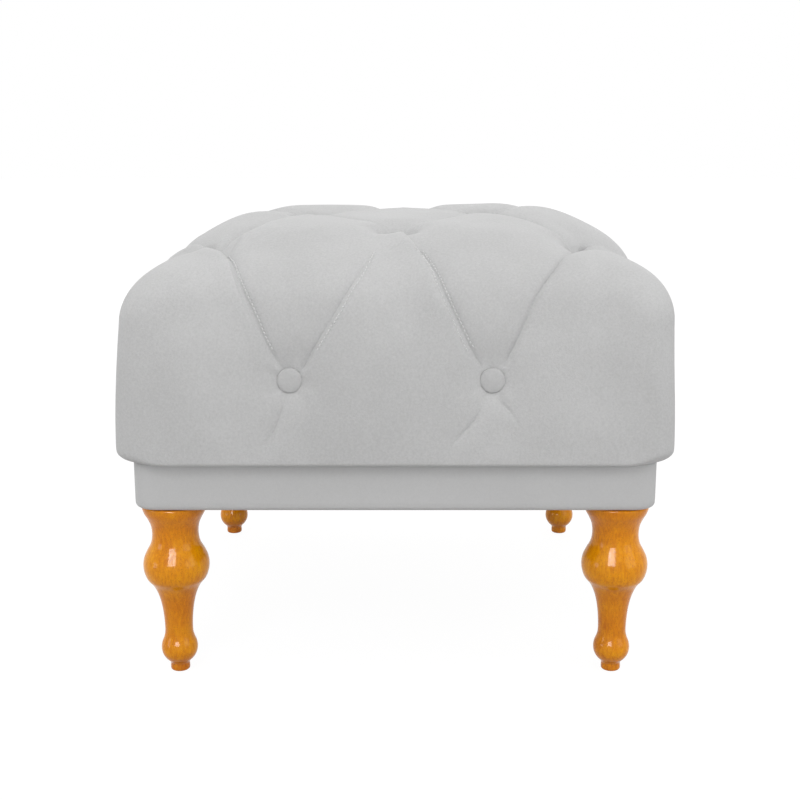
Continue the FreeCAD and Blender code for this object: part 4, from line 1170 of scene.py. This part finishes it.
dust_rings, dust_points = 36, 160
dust_half, leg_off = dust_high.x - 2 * mm, 205 * mm
dust_sag, dust_quilt, quilt_length = 1.2 * mm, 0.15 * mm, 19.1 * mm
reach = np.linspace(0, 1, dust_rings + 1)[1:, None]
gx, gy = square_point(np.arange(dust_points) / (dust_points / 4), dust_half, 18 * mm)
gx, gy = np.append(0, (reach * gx).ravel()), np.append(0, (reach * gy).ravel())
sag = dust_sag * (1 - (gx / dust_high.x) ** 4) * (1 - (gy / dust_high.y) ** 4)
sag += dust_quilt * np.sin(gx / quilt_length) * np.sin(gy / quilt_length)
# it lies flat over the rails and round the legs
sag *= np.clip((np.minimum(dust_high.x - np.abs(gx), dust_high.y - np.abs(gy)) - 50 * mm) / (30 * mm), 0, 1)
sag *= np.clip((np.hypot(np.abs(gx) - leg_off, np.abs(gy) - leg_off) - 36 * mm) / (20 * mm), 0, 1)
dust_places = np.stack([gx, gy, dust_low.z + 0.3 * mm - sag], 1)
dust_faces = [(0, 1 + (k + 1) % dust_points, 1 + k) for k in range(dust_points)]
dust = mesh_object("dust_cloth", dust_places, dust_faces + ring_quads(dust_rings, dust_points, first=1))
dust.data.materials.append(dust_black)
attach(dust, "root")
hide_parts("dust_cover")
print("dust cloth: %.0f mm square" % (2 * dust_half / mm))

# %% [markdown]
# ## Turned legs
# The legs are turned on a lathe from one piece of wood, stained honey brown and
# lacquered. Fine grain and dark pores run up the leg under a clear coat. A ramp over
# the height makes the colour darker at the foot, the thin shaft, the neck and the top.

# %% Lacquered wood
honey, tree, shader = new_material(
    "honey_lacquer", Roughness=0.4, Specular_IOR_Level=0.05,
    Coat_Weight=0.65, Coat_IOR=1.32, Coat_Roughness=0.06)
where = add_node(tree, "TexCoord").outputs["Object"]
drawn_out = add_node(tree, "Mapping", Vector=where, Scale=(1, 1, 0.3)).outputs["Vector"]
grain = texture(tree, "Noise", drawn_out, Scale=420.0, Detail=5.0, Roughness=0.7, Distortion=0.3)
cloud = texture(tree, "Noise", where, Scale=26.0, Detail=3.0)
squeezed = add_node(tree, "Mapping", Vector=where, Scale=(1, 1, 0.6)).outputs["Vector"]
pores = texture(tree, "Voronoi", squeezed, "Distance", Scale=900.0)
streaks = maths(tree, "MULTIPLY_ADD", grain, 0.6, maths(tree, "MULTIPLY", cloud, 0.4))
tone = ramp(tree, streaks, (0.36, srgb(206, 120, 1)), (0.5, srgb(228, 145, 2)), (0.64, srgb(242, 166, 6)))
clear = (1, 1, 1, 1)
fleck = ramp(tree, pores, (0.10, (0.30, 0.22, 0.16, 1)), (0.28, clear))
flecked = multiplied(tree, tone, fleck, 0.55)
# places up the leg as shares of its height, and how much darker the colour is there
darker_tone = (0.86, 0.74, 0.7, 1)
up_leg = add_node(tree, "SeparateXYZ", Vector=where).outputs["Z"]
up_leg = add_node(tree, "MapRange", Value=up_leg, From_Min=0.0, From_Max=0.165).outputs["Result"]
tone_by_height = ramp(
    tree, up_leg, (0.0, darker_tone), (0.07, darker_tone), (0.13, clear), (0.2, (0.93, 0.87, 0.85, 1)),
    (0.3, darker_tone), (0.46, darker_tone), (0.58, clear), (0.74, clear), (0.86, (0.95, 0.87, 0.82, 1)),
    (1.0, darker_tone))
feed(shader.inputs["Base Color"], multiplied(tree, flecked, tone_by_height, 1.0))
bend_shading(tree, shader, grain, 0.12, 0.3 * mm)
print("leg finish:", honey.name)

# %% [markdown]
# A lathe makes a solid of revolution, so the leg is a profile spun about its axis. The
# profile is a list of radii up the leg, joined by a smooth curve: a small foot, a little
# ball, the slender shaft, the large bead under its fillet, the neck and the flared top.

# %% Turn the legs
leg_profile = [
    (0, 0), (8.0, 0.0), (8.9, 1.0), (9.1, 3.0), (9.1, 7.2), (10.2, 9.0), (13.2, 12.0), (15.9, 16.5),
    (17.0, 22.0), (16.3, 27.5), (14.4, 32.5), (13.3, 37.0), (13.1, 45.0), (13.8, 56.0), (15.2, 66.0),
    (17.4, 75.0), (20.6, 83.0), (22.6, 86.4), (24.2, 88.4), (27.6, 92.6), (30.0, 99.0), (30.7, 105.5),
    (29.6, 112.5), (26.4, 119.5), (23.4, 125.0), (21.8, 131.0), (21.5, 138.0), (22.6, 145.0), (25.4, 151.5),
    (28.4, 157.0), (29.8, 161.5), (30.0, 164.0), (29.2, 165.0), (0, 165.0),
]
leg_spokes = 72
profile = np.array(leg_profile) * mm
run = run_along(profile)
fine_run = np.concatenate([np.linspace(a, b, 7)[:-1] for a, b in zip(run[1:-2], run[2:-1])] + [[run[-2]]])
turned = np.stack([smooth_through(fine_run, run, profile[:, k]) for k in range(2)], 1)
leg_points = len(turned) * leg_spokes
leg_faces = ring_quads(len(turned), leg_spokes)
leg_faces += [tuple(range(leg_spokes))[::-1], tuple(range(leg_points - leg_spokes, leg_points))]
for label in ("leg_front_left", "leg_back_left", "leg_front_right", "leg_back_right"):
    low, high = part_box(label)
    axis_x, axis_y = (low.x + high.x) / 2, (low.y + high.y) / 2
    places = []
    for radius, z in turned:
        for k in range(leg_spokes):
            a = 2 * math.pi * k / leg_spokes
            places.append((axis_x + radius * math.cos(a), axis_y + radius * math.sin(a), z))
    leg = mesh_object("turned_" + label, places, leg_faces)
    leg.data.materials.append(honey)
    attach(leg, "root")
    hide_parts(label)
print("legs: %d rings of %d points" % (len(turned), leg_spokes))

# %% [markdown]
# ## The frame inside
# Nobody sees the frame unless the cover comes off, but each of its parts keeps its own
# finish: boards of plywood and fibreboard, blocks and rails of pale softwood, steel
# screws and nuts, and waxed twine that ties the buttons down. They keep the shapes of
# the solid model, so each node only gets a better material.

# %% Wood of the frame
def plain_wood(name, light, dark, lengthwise, ring_scale, rough=0.7):
    """Sawn wood: growth rings stretched along one axis, with fine fibres over them."""
    mat, tree, shader = new_material(name, Roughness=rough)
    where = add_node(tree, "TexCoord").outputs["Object"]
    along = add_node(tree, "Mapping", Vector=where, Scale=lengthwise).outputs["Vector"]
    growth = texture(tree, "Wave", along, Scale=ring_scale, Distortion=6.0, Detail=3.0)
    fibre = texture(tree, "Noise", along, Scale=ring_scale * 6, Detail=5.0)
    shade = ramp(tree, maths(tree, "MULTIPLY", growth, fibre), (0.1, light), (0.6, dark))
    feed(shader.inputs["Base Color"], shade)
    bend_shading(tree, shader, fibre, 0.3, 0.4 * mm)
    return mat


frame_finish = {
    "plywood": plain_wood("birch_plywood", srgb(222, 196, 150), srgb(188, 152, 104), (0.15, 1, 1), 28.0),
    "fibreboard": plain_wood("fibreboard", srgb(176, 140, 98), srgb(150, 114, 76), (1, 1, 1), 220.0, 0.85),
    "softwood": plain_wood("pine", srgb(226, 192, 138), srgb(190, 142, 84), (1, 1, 0.12), 46.0),
}
print("woods:", [m.name for m in frame_finish.values()])


# %% Steel and twine
def worn_steel(name, light, dark, rough):
    """Plated steel: small clouds of wear in the colour and in the gloss."""
    mat, tree, shader = new_material(name, Metallic=1.0)
    where = add_node(tree, "TexCoord").outputs["Object"]
    cloud = texture(tree, "Noise", where, Scale=240.0, Detail=5.0, Roughness=0.6)
    feed(shader.inputs["Base Color"], ramp(tree, cloud, (0.35, dark), (0.65, light)))
    dull = add_node(tree, "MapRange", Value=cloud, To_Min=rough - 0.08, To_Max=rough + 0.12)
    feed(shader.inputs["Roughness"], dull.outputs["Result"])
    return mat


frame_finish["steel"] = worn_steel("zinc_steel", srgb(206, 208, 212), srgb(168, 172, 178), 0.32)
frame_finish["nut_steel"] = worn_steel("yellow_zinc", srgb(214, 198, 150), srgb(178, 160, 116), 0.35)
frame_finish["washer"] = worn_steel("washer_steel", srgb(198, 200, 204), srgb(150, 152, 158), 0.4)

frame_finish["twine"], tree, shader = new_material("waxed_twine", Roughness=0.55)
where = add_node(tree, "TexCoord").outputs["Object"]
strands = texture(tree, "Wave", where, Scale=420.0, Distortion=0.5, bands_direction="DIAGONAL")
feed(shader.inputs["Base Color"], ramp(tree, strands, (0.2, srgb(168, 150, 118)), (0.8, srgb(214, 200, 170))))
bend_shading(tree, shader, strands, 0.5, 0.3 * mm)
print("finishes of the frame:", len(frame_finish))

# %% Dress the frame
dressed = 0
for row in frame["record"]["subparts"]:
    finish = frame_finish.get(row["material_slot"])
    if finish:
        for slot in frame["nodes"][row["node"]].material_slots:
            slot.material = finish
            dressed += 1
print("frame parts dressed:", dressed)
